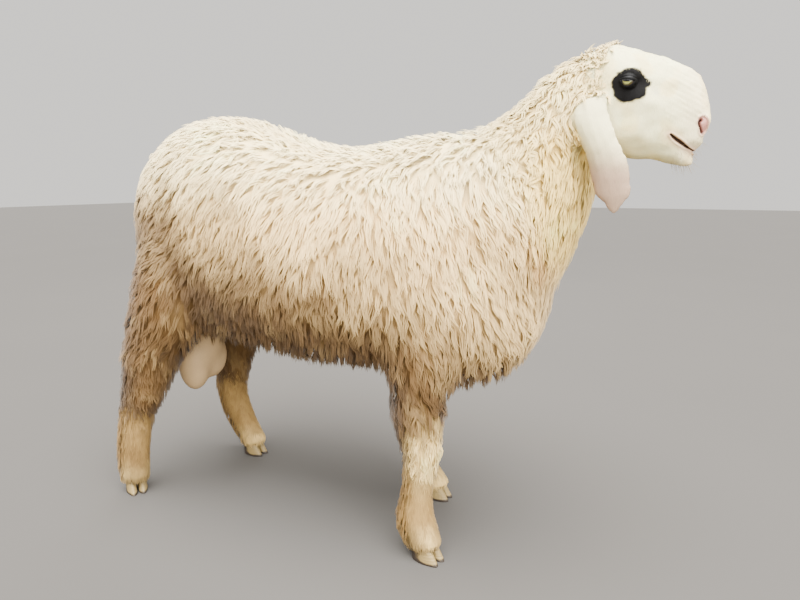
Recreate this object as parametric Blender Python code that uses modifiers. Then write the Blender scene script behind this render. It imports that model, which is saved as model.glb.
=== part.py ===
"""A full-grown ram of the Kajli type, standing still, as life-size solids in metres.

It faces +X with its right side at -Y, +Z is up and the soles of its hooves lie on z = 0.
The surfaces are those of the coat, out to its tips. The body is lofted through named
sections, fused into one skin and parted again with thin cuts, one object for each part.
"""

import math
from collections import namedtuple

import bmesh
import bpy
import numpy as np
from mathutils import Matrix, Vector

GAP = 0.0004  # between neighbours, so that they meet without touching
RING_POINTS = 32
STEPS = 4  # rings made between two sections
VOXEL = 0.007  # of the fused skin, before it is smoothed and thinned out
SMOOTHING_PASSES = 8
WOOL_SMOOTHING_PASSES = 60  # behind WOOL_FRONT and above WOOL_FOOT, where wool rounds it
WOOL_FRONT, WOOL_FOOT = 0.60, 0.30
SKIN_TRIANGLES = 3400
FINE_SKIN_TRIANGLES = 10200  # of the skin that the head is taken from
SMALL_RING_POINTS = 16
SMALL_STEPS = 2

EYEBALL_RADIUS = 0.0145
EYE = (0.7190, 0.0550, 0.9740)

HOOF_HEIGHT = 0.025  # at the heel, where the hair ends and the horn begins
CORONET_SLOPE = 0.22  # rise of that line towards the toe
CLAW_LENGTH = 0.067
CLAW_WIDTH = 0.0265
CLEFT = 0.004
TOE_LEAN = 0.62  # how far the wall leans back from the toe for each metre up
HEEL_LEAN = 0.18

# A section across the midline: its highest and lowest point (x, z), half its width,
# the level of its widest place (0 low, 1 high) and its roundness (2 is an ellipse).
Section = namedtuple("Section", "upper lower half_width level roundness")
# A level section of a leg: its centre, its reach fore and aft and to the side.
Slice = namedtuple("Slice", "x y z fore side")
# A section of an ear: its centre, its breadth and thickness, how far its edges curl
# inwards and how its front edge is turned outwards, in degrees.
Leaf = namedtuple("Leaf", "x y z breadth thickness curl turn")
# An egg-shaped swelling: its centre, its three radii and its lean forwards in degrees.
Swelling = namedtuple("Swelling", "centre radii lean")
# A thin cut: its middle, its lean from upright in degrees, its breadth and its height.
Cut = namedtuple("Cut", "middle lean breadth height")
# How a leg stands: the side it is on, the turn of its toes in degrees, how far its foot
# is set out from the body, and how far forward it is moved at each of STANCE_LEVELS.
Stance = namedtuple("Stance", "side toes spread moved")

TRUNK = [
    Section((-0.434, 0.770), (-0.428, 0.640), 0.054, 0.50, 2.0),
    Section((-0.418, 0.846), (-0.414, 0.550), 0.106, 0.50, 2.0),
    Section((-0.370, 0.908), (-0.372, 0.474), 0.154, 0.50, 2.0),
    Section((-0.296, 0.946), (-0.296, 0.438), 0.188, 0.50, 2.1),
    Section((-0.200, 0.965), (-0.200, 0.424), 0.212, 0.50, 2.2),
    Section((-0.100, 0.954), (-0.100, 0.414), 0.224, 0.48, 2.3),
    Section((0.000, 0.920), (0.000, 0.406), 0.232, 0.46, 2.3),
    Section((0.100, 0.891), (0.100, 0.403), 0.236, 0.45, 2.3),
    Section((0.200, 0.886), (0.200, 0.404), 0.234, 0.45, 2.3),
    Section((0.300, 0.904), (0.300, 0.398), 0.226, 0.46, 2.2),
    Section((0.400, 0.908), (0.400, 0.382), 0.212, 0.47, 2.2),
    Section((0.480, 0.884), (0.480, 0.392), 0.184, 0.47, 2.1),
    Section((0.536, 0.834), (0.540, 0.428), 0.146, 0.47, 2.0),
    Section((0.578, 0.764), (0.580, 0.486), 0.100, 0.48, 2.0),
    Section((0.600, 0.690), (0.600, 0.560), 0.054, 0.50, 2.0),
]
NECK = [
    Section((0.300, 0.880), (0.500, 0.500), 0.190, 0.50, 2.0),
    Section((0.400, 0.908), (0.602, 0.590), 0.178, 0.50, 2.0),
    Section((0.460, 0.920), (0.636, 0.665), 0.150, 0.52, 2.0),
    Section((0.510, 0.950), (0.661, 0.735), 0.122, 0.55, 2.0),
    Section((0.556, 0.994), (0.680, 0.810), 0.100, 0.58, 2.0),
    Section((0.600, 1.026), (0.700, 0.868), 0.086, 0.60, 2.0),
    Section((0.640, 1.044), (0.712, 0.900), 0.074, 0.60, 2.0),
]
HEAD = [
    Section((0.620, 1.034), (0.662, 0.900), 0.058, 0.62, 2.0),
    Section((0.652, 1.050), (0.690, 0.858), 0.068, 0.62, 2.1),
    Section((0.698, 1.047), (0.724, 0.845), 0.067, 0.60, 2.2),
    Section((0.740, 1.033), (0.757, 0.843), 0.058, 0.56, 2.2),
    Section((0.776, 1.021), (0.784, 0.838), 0.048, 0.50, 2.2),
    Section((0.806, 1.007), (0.800, 0.832), 0.043, 0.44, 2.3),
    Section((0.834, 0.986), (0.812, 0.842), 0.041, 0.40, 2.3),
    Section((0.850, 0.950), (0.830, 0.860), 0.035, 0.38, 2.1),
    Section((0.857, 0.922), (0.846, 0.878), 0.020, 0.42, 2.0),
]
TAIL = [
    Slice(-0.412, 0.000, 0.826, 0.034, 0.034),
    Slice(-0.438, 0.000, 0.786, 0.036, 0.037),
    Slice(-0.458, 0.000, 0.726, 0.036, 0.040),
    Slice(-0.468, 0.000, 0.650, 0.034, 0.040),
    Slice(-0.470, 0.000, 0.570, 0.030, 0.036),
    Slice(-0.468, 0.000, 0.500, 0.021, 0.026),
    Slice(-0.466, 0.000, 0.474, 0.009, 0.012),
]
FORELEG = [
    Slice(0.380, 0.100, 0.600, 0.130, 0.090),
    Slice(0.372, 0.120, 0.480, 0.102, 0.084),
    Slice(0.364, 0.127, 0.400, 0.073, 0.068),
    Slice(0.359, 0.128, 0.345, 0.060, 0.055),
    Slice(0.360, 0.128, 0.295, 0.055, 0.048),
    Slice(0.367, 0.127, 0.250, 0.048, 0.042),
    Slice(0.362, 0.126, 0.200, 0.036, 0.035),
    Slice(0.357, 0.126, 0.155, 0.035, 0.032),
    Slice(0.352, 0.126, 0.110, 0.043, 0.035),
    Slice(0.358, 0.126, 0.075, 0.047, 0.036),
    Slice(0.372, 0.126, 0.045, 0.042, 0.034),
    Slice(0.382, 0.126, 0.018, 0.037, 0.031),
]
HINDLEG = [
    Slice(-0.256, 0.095, 0.660, 0.130, 0.098),
    Slice(-0.280, 0.114, 0.550, 0.132, 0.096),
    Slice(-0.316, 0.130, 0.460, 0.114, 0.084),
    Slice(-0.350, 0.142, 0.385, 0.093, 0.066),
    Slice(-0.375, 0.150, 0.320, 0.072, 0.055),
    Slice(-0.398, 0.156, 0.260, 0.060, 0.047),
    Slice(-0.416, 0.160, 0.190, 0.048, 0.038),
    Slice(-0.430, 0.162, 0.115, 0.046, 0.035),
    Slice(-0.433, 0.162, 0.075, 0.044, 0.035),
    Slice(-0.434, 0.162, 0.045, 0.040, 0.034),
    Slice(-0.436, 0.162, 0.018, 0.036, 0.031),
]
EAR = [
    Leaf(0.660, 0.050, 0.964, 0.042, 0.025, 0.00, 16),
    Leaf(0.656, 0.077, 0.947, 0.056, 0.022, 0.10, 6),
    Leaf(0.660, 0.094, 0.920, 0.068, 0.017, 0.16, 2),
    Leaf(0.672, 0.103, 0.890, 0.068, 0.014, 0.18, 4),
    Leaf(0.690, 0.108, 0.850, 0.064, 0.012, 0.18, 6),
    Leaf(0.702, 0.111, 0.808, 0.063, 0.011, 0.15, 6),
    Leaf(0.708, 0.111, 0.781, 0.055, 0.010, 0.10, 6),
    Leaf(0.712, 0.111, 0.760, 0.032, 0.009, 0.04, 6),
    Leaf(0.713, 0.111, 0.747, 0.014, 0.006, 0.00, 6),
]
FAR_EAR_BACK = 0.034  # the left ear hangs this much further back than the right one

SWELLINGS = [
    Swelling((0.716, 0.043, 0.992), (0.032, 0.026, 0.020), 8),  # brow over the eye
    Swelling((0.708, 0.036, 0.905), (0.042, 0.026, 0.044), 20),  # cheek
    Swelling((0.838, 0.019, 0.904), (0.020, 0.018, 0.025), 20),  # nostril
    Swelling((0.828, 0.012, 0.878), (0.022, 0.026, 0.016), 25),  # upper lip
    Swelling((0.811, 0.008, 0.847), (0.028, 0.024, 0.016), 25),  # chin
    Swelling((0.656, 0.050, 0.958), (0.026, 0.026, 0.024), 0),  # base of the ear
]
SCROTUM = [
    Swelling((-0.324, -0.034, 0.336), (0.045, 0.040, 0.068), -6),
    Swelling((-0.318, 0.034, 0.346), (0.045, 0.040, 0.066), -6),
    Swelling((-0.300, 0.000, 0.400), (0.044, 0.042, 0.060), -10),
]

STANCE_LEVELS = (0.02, 0.05, 0.07, 0.12, 0.19, 0.30, 0.45, 0.60)
STANCES = {
    "foreleg_right": Stance(-1, -14, -0.010, (0.0,) * 8),
    "foreleg_left": Stance(
        1, -4, 0.016, (-0.072, -0.076, -0.086, -0.098, -0.094, -0.084, -0.064, 0.0)
    ),
    "hindleg_right": Stance(-1, -34, -0.010, (0.0,) * 8),
    "hindleg_left": Stance(1, -6, 0.0, (0.150, 0.142, 0.126, 0.092, 0.056, 0.038, 0.020, 0.0)),
}
FORE_TOP, KNEE = 0.352, 0.226
HIND_TOP, HOCK = 0.392, 0.246
BACK_OF_SHOULDER, FRONT_OF_THIGH = 0.206, -0.150

BODY_CUTS = [
    Cut((BACK_OF_SHOULDER, 0.0, 0.650), 0, 0.60, 0.70),
    Cut((FRONT_OF_THIGH, 0.0, 0.680), 0, 0.60, 0.70),
    Cut((0.548, 0.0, 0.792), -28.5, 0.60, 0.44),
]
NAPE = Cut((0.668, 0.0, 0.950), -17, 0.26, 0.26)
JAW_CUTS = [
    Cut((0.8200, 0.0, 0.8683), 121, 0.20, 0.104),  # between the lips
    Cut((0.7450, 0.0, 0.8868), 84, 0.20, 0.092),  # top of the jaw
    Cut((0.7060, 0.0, 0.8450), 0, 0.20, 0.090),  # angle of the jaw
]

WOOL = (0.86, 0.80, 0.68, 1.0)
SHORT_HAIR = (0.90, 0.86, 0.78, 1.0)
BARE_SKIN = (0.80, 0.66, 0.52, 1.0)
HORN = (0.52, 0.38, 0.20, 1.0)
EYE_COLOUR = (0.05, 0.04, 0.03, 1.0)


def clear_scene():
    """Empties the file of the objects that it opens with."""
    for item in list(bpy.data.objects):
        bpy.data.objects.remove(item, do_unlink=True)


def new_collection(name):
    """A collection in the scene."""
    made = bpy.data.collections.new(name)
    bpy.context.scene.collection.children.link(made)
    return made


def finish(name, colour, roughness):
    """A Principled material."""
    made = bpy.data.materials.new(name)
    made.use_nodes = True
    shader = made.node_tree.nodes["Principled BSDF"]
    shader.inputs["Base Color"].default_value = colour
    shader.inputs["Roughness"].default_value = roughness
    return made


def smooth_rows(sections, steps=STEPS):
    """The sections as rows of numbers, with others made between each two of them."""
    rows = np.array([np.hstack(section) for section in sections])
    rows = np.vstack([2 * rows[0] - rows[1], rows, 2 * rows[-1] - rows[-2]])
    out = []
    for a, b, c, d in zip(rows, rows[1:], rows[2:], rows[3:]):
        for t in np.arange(steps) / steps:
            bend = 2 * a - 5 * b + 4 * c - d
            twist = 3 * b - a - 3 * c + d
            out.append(b + 0.5 * ((c - a) * t + bend * t**2 + twist * t**3))
    out.append(rows[-2])
    return np.array(out)


def oval(roundness, count=RING_POINTS):
    """Points round a superellipse of radius 1."""
    angle = np.arange(count) * 2 * math.pi / count
    across, along = np.cos(angle), np.sin(angle)
    power = 2.0 / roundness
    return (
        np.sign(across) * np.abs(across) ** power,
        np.sign(along) * np.abs(along) ** power,
    )


def section_ring(row):
    """The ring of one Section across the midline."""
    upper_x, upper_z, lower_x, lower_z, half, level, roundness = row
    across, high = oval(roundness)
    share = level + np.where(high > 0, (1 - level) * high, level * high)
    x = lower_x + (upper_x - lower_x) * share
    z = lower_z + (upper_z - lower_z) * share
    return np.stack([x, half * across, z], axis=1)


def slice_ring(row, count=RING_POINTS):
    """The ring of one level Slice."""
    x, y, z, fore, side = row
    along, across = oval(2.0, count)
    return np.stack([x + fore * along, y + side * across, 0 * along + z], axis=1)


def leaf_ring(row):
    """The ring of one Leaf of an ear, whose flat faces look sideways."""
    x, y, z, breadth, thickness, curl, turn = row
    along, across = oval(2.4, SMALL_RING_POINTS)
    along = along * breadth / 2
    across = across * thickness / 2 - curl * breadth * (2 * along / breadth) ** 2 * 0.9
    turn = math.radians(turn)
    return np.stack(
        [
            x + along * math.cos(turn) - across * math.sin(turn),
            y + across * math.cos(turn) + along * math.sin(turn),
            0 * along + z,
        ],
        axis=1,
    )


def loft(rings):
    """A closed mesh through rings that have the same number of points."""
    rings = np.asarray(rings)
    count = rings.shape[1]
    mesh = bmesh.new()
    grid = [[mesh.verts.new(point) for point in ring] for ring in rings]
    for low, high in zip(grid, grid[1:]):
        for i in range(count):
            j = (i + 1) % count
            mesh.faces.new([low[i], low[j], high[j], high[i]])
    for ring in (grid[0], grid[-1]):
        middle = mesh.verts.new(sum((v.co for v in ring), Vector()) / count)
        for i in range(count):
            mesh.faces.new([ring[i], ring[(i + 1) % count], middle])
    bmesh.ops.recalc_face_normals(mesh, faces=mesh.faces)
    return mesh


def egg(swelling, side=1, grow=0.0, fineness=3):
    """A closed egg-shaped mesh on one side of the body."""
    x, y, z = swelling.centre
    mesh = bmesh.new()
    place = (
        Matrix.Translation((x, y * side, z))
        @ Matrix.Rotation(math.radians(swelling.lean), 4, "Y")
        @ Matrix.Diagonal([r + grow for r in swelling.radii] + [1.0])
    )
    bmesh.ops.create_icosphere(mesh, subdivisions=fineness, radius=1.0, matrix=place)
    return mesh


def mirrored(mesh, side):
    """The mesh, turned over to the other side of the body where side is -1."""
    if side < 0:
        bmesh.ops.scale(mesh, vec=(1, -1, 1), verts=mesh.verts)
        bmesh.ops.reverse_faces(mesh, faces=mesh.faces)
    return mesh


def to_object(name, mesh, collection):
    """The bmesh as an object in the collection."""
    data = bpy.data.meshes.new(name)
    mesh.to_mesh(data)
    mesh.free()
    made = bpy.data.objects.new(name, data)
    collection.objects.link(made)
    return made


def joined(meshes):
    """Several bmeshes in one."""
    whole = bmesh.new()
    for mesh in meshes:
        data = bpy.data.meshes.new("piece")
        mesh.to_mesh(data)
        mesh.free()
        whole.from_mesh(data)
        bpy.data.meshes.remove(data)
    return whole


def settled(item):
    """Replaces an object's mesh by the result of its modifiers."""
    graph = bpy.context.evaluated_depsgraph_get()
    graph.update()
    data = bpy.data.meshes.new_from_object(item.evaluated_get(graph))
    item.modifiers.clear()
    item.data = data
    return item


def subtract(item, cutter):
    """Cuts the cutter away from the object."""
    change = item.modifiers.new("cut", "BOOLEAN")
    change.operation = "DIFFERENCE"
    change.solver = "EXACT"
    change.object = cutter
    return settled(item)


def inflated(item, by, collection):
    """A copy of the object, grown outwards by a small distance."""
    mesh = bmesh.new()
    mesh.from_mesh(item.data)
    mesh.normal_update()
    moves = [v.normal * by for v in mesh.verts]
    for vertex, move in zip(mesh.verts, moves):
        vertex.co += move
    return to_object(item.name + "_grown", mesh, collection)


def leg_table(kind, stance):
    """The slices of one leg, moved to stand over its own foot."""
    table = FORELEG if kind.startswith("fore") else HINDLEG
    return [
        cut._replace(
            x=cut.x + float(np.interp(cut.z, STANCE_LEVELS, stance.moved)),
            y=cut.y + float(np.interp(cut.z, (0.02, 0.45), (stance.spread, 0.0))),
        )
        for cut in table
    ]


def body_skin(helpers):
    """Trunk, neck, head and legs fused into one smooth closed skin."""
    pieces = [loft([section_ring(r) for r in smooth_rows(t)]) for t in (TRUNK, NECK, HEAD)]
    for name, stance in STANCES.items():
        rows = smooth_rows(leg_table(name, stance))
        pieces.append(mirrored(loft([slice_ring(r) for r in rows]), stance.side))
    for swelling in SWELLINGS:
        pieces += [egg(swelling), egg(swelling, -1)]
    skin = to_object("skin", joined(pieces), helpers)
    fuse = skin.modifiers.new("fuse", "REMESH")
    fuse.mode = "VOXEL"
    fuse.voxel_size = VOXEL
    soften = skin.modifiers.new("soften", "SMOOTH")
    soften.factor = 0.5
    soften.iterations = SMOOTHING_PASSES
    settled(skin)
    woolly = skin.vertex_groups.new(name="woolly")
    for vertex in skin.data.vertices:
        back = min(1.0, max(0.0, (WOOL_FRONT - vertex.co.x) / 0.08))
        up = min(1.0, max(0.0, (vertex.co.z - WOOL_FOOT) / 0.10))
        woolly.add([vertex.index], back * up, "REPLACE")
    round_off = skin.modifiers.new("round_off", "SMOOTH")
    round_off.factor = 0.5
    round_off.iterations = WOOL_SMOOTHING_PASSES
    round_off.vertex_group = "woolly"
    settled(skin)
    skin.vertex_groups.clear()
    return skin


def thinned(skin, triangles, helpers):
    """A copy of the dense skin, thinned out to about so many triangles."""
    copy = bpy.data.objects.new("thinned", skin.data.copy())
    helpers.objects.link(copy)
    copy.data.calc_loop_triangles()
    thin = copy.modifiers.new("thin", "DECIMATE")
    thin.ratio = triangles / len(copy.data.loop_triangles)
    return settled(copy)


def slab(cut, helpers, thickness=GAP):
    """A thin plate across the body, leaning forward at its top where lean is above 0."""
    mesh = bmesh.new()
    place = (
        Matrix.Translation(cut.middle)
        @ Matrix.Rotation(math.radians(cut.lean), 4, "Y")
        @ Matrix.Diagonal((thickness, cut.breadth, cut.height, 1.0))
    )
    bmesh.ops.create_cube(mesh, size=1.0, matrix=place)
    return to_object("slab", mesh, helpers)


def leg_cuts():
    """The level cuts through the legs."""
    cuts = []
    for name, stance in STANCES.items():
        fore = name.startswith("fore")
        table = leg_table(name, stance)[::-1]
        pairs = ((FORE_TOP, 0.24), (KNEE, 0.18)) if fore else ((HIND_TOP, 0.34), (HOCK, 0.24))
        for level, reach in pairs:
            x = float(np.interp(level, [c.z for c in table], [c.x for c in table]))
            cuts.append(Cut((x, stance.side * 0.139, level), 90, 0.236, reach))
    return cuts


def hoof_frame(name, stance):
    """Where a hoof stands: its turn and its middle on the floor."""
    foot = leg_table(name, stance)[-1]
    return (
        Matrix.Translation((foot.x, foot.y * stance.side, 0.0))
        @ Matrix.Rotation(math.radians(stance.toes), 4, "Z")
    )


def coronet(x):
    """Height of the top of the horn at x along the hoof, which points to +x."""
    return HOOF_HEIGHT + CORONET_SLOPE * (x + CLAW_LENGTH / 2)


def claw_mesh(hand):
    """One half of a hoof, its toe at +x and its inner wall along the cleft."""
    count = 16
    rings = []
    for share in (0.0, 0.4, 1.0):
        ring = []
        for i in range(count):
            angle = 2 * math.pi * i / count
            along, across = math.cos(angle), math.sin(angle)
            x = CLAW_LENGTH / 2 * along
            inner = across < 0
            bulge = 0.5 - 0.5 * along
            width = CLAW_WIDTH * (0.72 + 0.28 * math.sqrt(bulge))
            y = CLEFT / 2 + CLAW_WIDTH * 0.42
            y += (CLAW_WIDTH * 0.42 if inner else width - CLAW_WIDTH * 0.42) * across
            if inner:
                y = max(CLEFT / 2, y + 0.004 * across)
            lean = (TOE_LEAN if along > 0 else HEEL_LEAN) * abs(along)
            height = (coronet(x) - GAP) / (1 + CORONET_SLOPE * lean) * share
            x -= lean * height
            y += (0.0022 if inner else -0.0026) * share
            ring.append((x, y * hand, height))
        rings.append(ring)
    return loft(rings)


def wedge(helpers, place):
    """All that lies under the coronet of one hoof."""
    mesh = bmesh.new()
    bmesh.ops.create_cube(mesh, size=1.0, matrix=Matrix.Diagonal((0.24, 0.18, 0.2, 1.0)))
    for vertex in mesh.verts:
        if vertex.co.z > 0:
            vertex.co.z = coronet(vertex.co.x)
    bmesh.ops.transform(mesh, matrix=place, verts=mesh.verts)
    return to_object("wedge", mesh, helpers)


def islands(item, collection):
    """The separate bodies of an object, each an object of its own."""
    whole = bmesh.new()
    whole.from_mesh(item.data)
    left = set(whole.verts)
    groups = []
    while left:
        seed = left.pop()
        group = {seed}
        edge = [seed]
        while edge:
            for link in edge.pop().link_edges:
                for vertex in link.verts:
                    if vertex in left:
                        left.discard(vertex)
                        group.add(vertex)
                        edge.append(vertex)
        groups.append({v.index for v in group})
    whole.free()
    groups.sort(key=lambda g: min(g))
    out = []
    for group in groups:
        part = bmesh.new()
        part.from_mesh(item.data)
        bmesh.ops.delete(part, geom=[v for v in part.verts if v.index not in group], context="VERTS")
        if abs(part.calc_volume()) < 1e-7:
            part.free()
            continue
        out.append(to_object("part", part, collection))
    return out


def seeds():
    """A point inside each part of the skin."""
    found = {
        "head": (0.740, 0.0, 0.950),
        "jaw": (0.775, 0.0, 0.858),
        "neck": (0.610, 0.0, 0.880),
        "forequarter": (0.410, 0.0, 0.650),
        "barrel": (0.060, 0.0, 0.640),
        "hindquarter": (-0.310, 0.0, 0.690),
    }
    for name, stance in STANCES.items():
        table = leg_table(name, stance)
        heights = [c.z for c in table][::-1]
        xs = [c.x for c in table][::-1]
        fore = name.startswith("fore")
        top, joint = (FORE_TOP, KNEE) if fore else (HIND_TOP, HOCK)
        words = ("forearm", "fore_cannon") if fore else ("gaskin", "hind_cannon")
        side = name.split("_")[1]
        for word, level in zip(words, ((top + joint) / 2, joint / 2 + 0.02)):
            x = float(np.interp(level, heights, xs))
            found[f"{word}_{side}"] = (x, stance.side * 0.145, level)
    return found


def middle_of(item):
    """The middle of an object's vertices' box."""
    points = np.array([v.co for v in item.data.vertices])
    return (points.min(axis=0) + points.max(axis=0)) / 2


def parted(skin, cuts, wanted, helpers, parts):
    """Cuts the skin and keeps the wanted bodies, each named for the seed nearest to it."""
    for cut in cuts:
        subtract(skin, slab(cut, helpers))
    names = seeds()
    kept = []
    for item in islands(skin, parts):
        middle = middle_of(item)
        nearest = min(names, key=lambda n: np.linalg.norm(np.array(names[n]) - middle))
        if wanted(nearest):
            item.name = nearest
            item.data.name = nearest
            kept.append(item)
        else:
            bpy.data.objects.remove(item, do_unlink=True)
    return kept


def dressed(item, material):
    """Gives the object its one material and shades it smooth, save at its cut edges."""
    item.data.materials.clear()
    item.data.materials.append(material)
    item.data.shade_smooth()
    item.data.set_sharp_from_angle(angle=math.radians(50))


def centre_on_floor(items):
    """Moves the whole so that the middle of its box lies over the origin."""
    corners = np.array([v.co for item in items for v in item.data.vertices])
    low, high = corners.min(axis=0), corners.max(axis=0)
    shift = Matrix.Translation((-(low[0] + high[0]) / 2, -(low[1] + high[1]) / 2, 0.0))
    for item in items:
        item.data.transform(shift)
    return shift.translation


def main():
    clear_scene()
    parts = new_collection("ram")
    helpers = new_collection("helpers")
    helpers.hide_render = True
    dense = body_skin(helpers)
    skin = thinned(dense, SKIN_TRIANGLES, helpers)
    fine = thinned(dense, FINE_SKIN_TRIANGLES, helpers)
    around = inflated(skin, GAP, helpers)
    around_fine = inflated(fine, GAP, helpers)

    loose = {}
    rows = smooth_rows(TAIL, SMALL_STEPS)
    rings = [slice_ring(row, SMALL_RING_POINTS) for row in rows]
    tail = to_object("tail", loft(rings), parts)
    loose["tail"] = subtract(tail, around)
    scrotum = to_object("scrotum", joined([egg(s) for s in SCROTUM]), parts)
    fuse = scrotum.modifiers.new("fuse", "REMESH")
    fuse.mode = "VOXEL"
    fuse.voxel_size = 0.006
    soften = scrotum.modifiers.new("soften", "SMOOTH")
    soften.iterations = 4
    settled(scrotum)
    thin = scrotum.modifiers.new("thin", "DECIMATE")
    thin.ratio = 0.035
    settled(scrotum)
    loose["scrotum"] = subtract(scrotum, around)
    for word, side, back in (("right", -1, 0.0), ("left", 1, FAR_EAR_BACK)):
        leaves = [leaf._replace(x=leaf.x - back * min(1, i / 3)) for i, leaf in enumerate(EAR)]
        rows = smooth_rows(leaves, SMALL_STEPS)
        ear = to_object(f"ear_{word}", mirrored(loft([leaf_ring(r) for r in rows]), side), parts)
        subtract(ear, around)
        loose[f"ear_{word}"] = subtract(ear, around_fine)

    for side, word in ((-1, "right"), (1, "left")):
        ball = Swelling(EYE, [EYEBALL_RADIUS] * 3, 0)
        socket = to_object("socket", egg(ball, side, grow=GAP, fineness=2), helpers)
        subtract(fine, socket)
        loose[f"eye_{word}"] = to_object(f"eye_{word}", egg(ball, side, fineness=2), parts)
    for name, stance in STANCES.items():
        place = hoof_frame(name, stance)
        subtract(skin, wedge(helpers, place))
        for hand, word in ((stance.side, "outer"), (-stance.side, "inner")):
            mesh = claw_mesh(hand)
            bmesh.ops.transform(mesh, matrix=place, verts=mesh.verts)
            bmesh.ops.recalc_face_normals(mesh, faces=mesh.faces)
            key = f"claw_{name.replace('leg', '')}_{word}"
            loose[key] = to_object(key, mesh, parts)
    head_parts = ("head", "jaw")
    bodies = parted(fine, [NAPE] + JAW_CUTS, lambda name: name in head_parts, helpers, parts)
    body_cuts = BODY_CUTS + [NAPE] + leg_cuts()
    bodies += parted(skin, body_cuts, lambda name: name not in head_parts, helpers, parts)

    wool = finish("wool", WOOL, 0.9)
    hair = finish("short_hair", SHORT_HAIR, 0.8)
    bare = finish("bare_skin", BARE_SKIN, 0.6)
    horn = finish("hoof_horn", HORN, 0.5)
    eyes = finish("eye", EYE_COLOUR, 0.1)
    coats = {"head": hair, "jaw": hair, "ear": hair, "fore": hair, "hind": hair}
    coats.update({"scrotum": bare, "claw": horn, "eye": eyes})
    for item in bodies + list(loose.values()):
        dressed(item, coats.get(item.name.split("_")[0], wool))
    for item in helpers.objects:
        item.hide_render = True
        item.display_type = "WIRE"
    shift = centre_on_floor(bodies + list(loose.values()))
    print("shift", tuple(round(c, 4) for c in shift))


main()
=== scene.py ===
"""Looks of a hornless ram that stands still: its skin, fleece, short hair, eyes and hooves.

Everything is built round the solids of the frame, in metres, with +X towards the nose, +Y to
the animal's left and +Z up. The solids reach to the tips of the coat, so the skin lies inside
them by the coat's depth, and locks and hairs grow from the skin back out to them.
"""

import logging
import math
from dataclasses import dataclass, field
from enum import Enum
from typing import Callable, Optional, Sequence, Union

import bmesh
import bpy
import numpy as np
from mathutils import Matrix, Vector
from mathutils.bvhtree import BVHTree

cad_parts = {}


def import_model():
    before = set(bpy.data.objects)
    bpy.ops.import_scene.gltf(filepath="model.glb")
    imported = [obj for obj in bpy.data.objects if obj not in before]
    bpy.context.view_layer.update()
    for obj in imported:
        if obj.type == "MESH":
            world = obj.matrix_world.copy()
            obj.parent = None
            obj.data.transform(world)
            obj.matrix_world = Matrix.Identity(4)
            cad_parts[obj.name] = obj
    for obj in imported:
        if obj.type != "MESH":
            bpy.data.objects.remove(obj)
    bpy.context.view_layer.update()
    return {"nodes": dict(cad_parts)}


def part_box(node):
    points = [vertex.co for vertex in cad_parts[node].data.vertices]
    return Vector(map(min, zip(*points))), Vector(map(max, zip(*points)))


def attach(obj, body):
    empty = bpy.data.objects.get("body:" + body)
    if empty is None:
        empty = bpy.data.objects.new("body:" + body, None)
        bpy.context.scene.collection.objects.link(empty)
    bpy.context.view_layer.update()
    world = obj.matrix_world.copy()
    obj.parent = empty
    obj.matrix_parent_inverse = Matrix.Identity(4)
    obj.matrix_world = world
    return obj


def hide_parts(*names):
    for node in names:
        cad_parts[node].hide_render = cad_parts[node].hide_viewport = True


LOG = logging.getLogger("ram")
BAKE_MAP = "OFBake"
PATCH = 0.003  # breadth of one tuft's patch on the coat's map
TINT, STRAND, BARE = "tint", "strand", "bare"  # what the meshes hold for their finishes

Array = np.ndarray
Triple = tuple[float, float, float]
Colour = Triple
Number = Union[float, "Value"]
SIDES = {"right": -1.0, "left": 1.0}  # which way along Y each side of the animal is


# ---------------------------------------------------------------- numbers and vectors


def srgb(red: int, green: int, blue: int) -> Array:
    """A colour of 8-bit screen values as linear values."""
    share = np.array([red, green, blue]) / 255.0
    return np.where(share <= 0.04045, share / 12.92, ((share + 0.055) / 1.055) ** 2.4)


def unit(vectors: Array) -> Array:
    """The vectors at length 1."""
    return vectors / np.maximum(np.linalg.norm(vectors, axis=-1, keepdims=True), 1e-9)


def ease(value: Array, low: float, high: float) -> Array:
    """0 at low and 1 at high, with a smooth way between; low may be the larger one."""
    share = np.clip((value - low) / (high - low), 0.0, 1.0)
    return share * share * (3.0 - 2.0 * share)


def mix(first: Array, second: Array, share: Array) -> Array:
    """The first rows turned into the second ones by a share for each row."""
    return first + (second - first) * np.asarray(share)[..., None]


def painted(colours: Array, *layers: tuple[Array, Array]) -> Array:
    """Rows of colours with others laid over them in order, each by a share for each row."""
    for paint, share in layers:
        colours = mix(colours, paint, share)
    return colours


def columns(*parts: Union[float, Array]) -> Array:
    """Rows made of columns, some of which may be plain numbers."""
    return np.stack(np.broadcast_arrays(*parts), axis=-1)


def bell(distance: Array, width: float) -> Array:
    """1 at no distance, and almost 0 at twice the width."""
    return np.exp(-((distance / width) ** 2))


@dataclass(frozen=True)
class Ripple:
    """Smooth random numbers over space, mostly between -1.5 and 1.5.

    Args:
        size: length of its waves, in metres.
        seed: makes one ripple differ from another.
        waves: how many waves are added up.
    """

    size: float
    seed: int
    waves: int = 14

    def at(self, points: Array) -> Array:
        """One number for each point."""
        rng = np.random.default_rng(self.seed)
        heading = unit(rng.normal(size=(self.waves, 3)))
        length = self.size * rng.uniform(0.7, 1.6, self.waves)
        phase = rng.uniform(0, 2 * math.pi, self.waves)
        turns = points @ (heading / length[:, None] * 2 * math.pi).T + phase
        return np.sin(turns).sum(axis=1) / math.sqrt(self.waves / 2)


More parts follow.
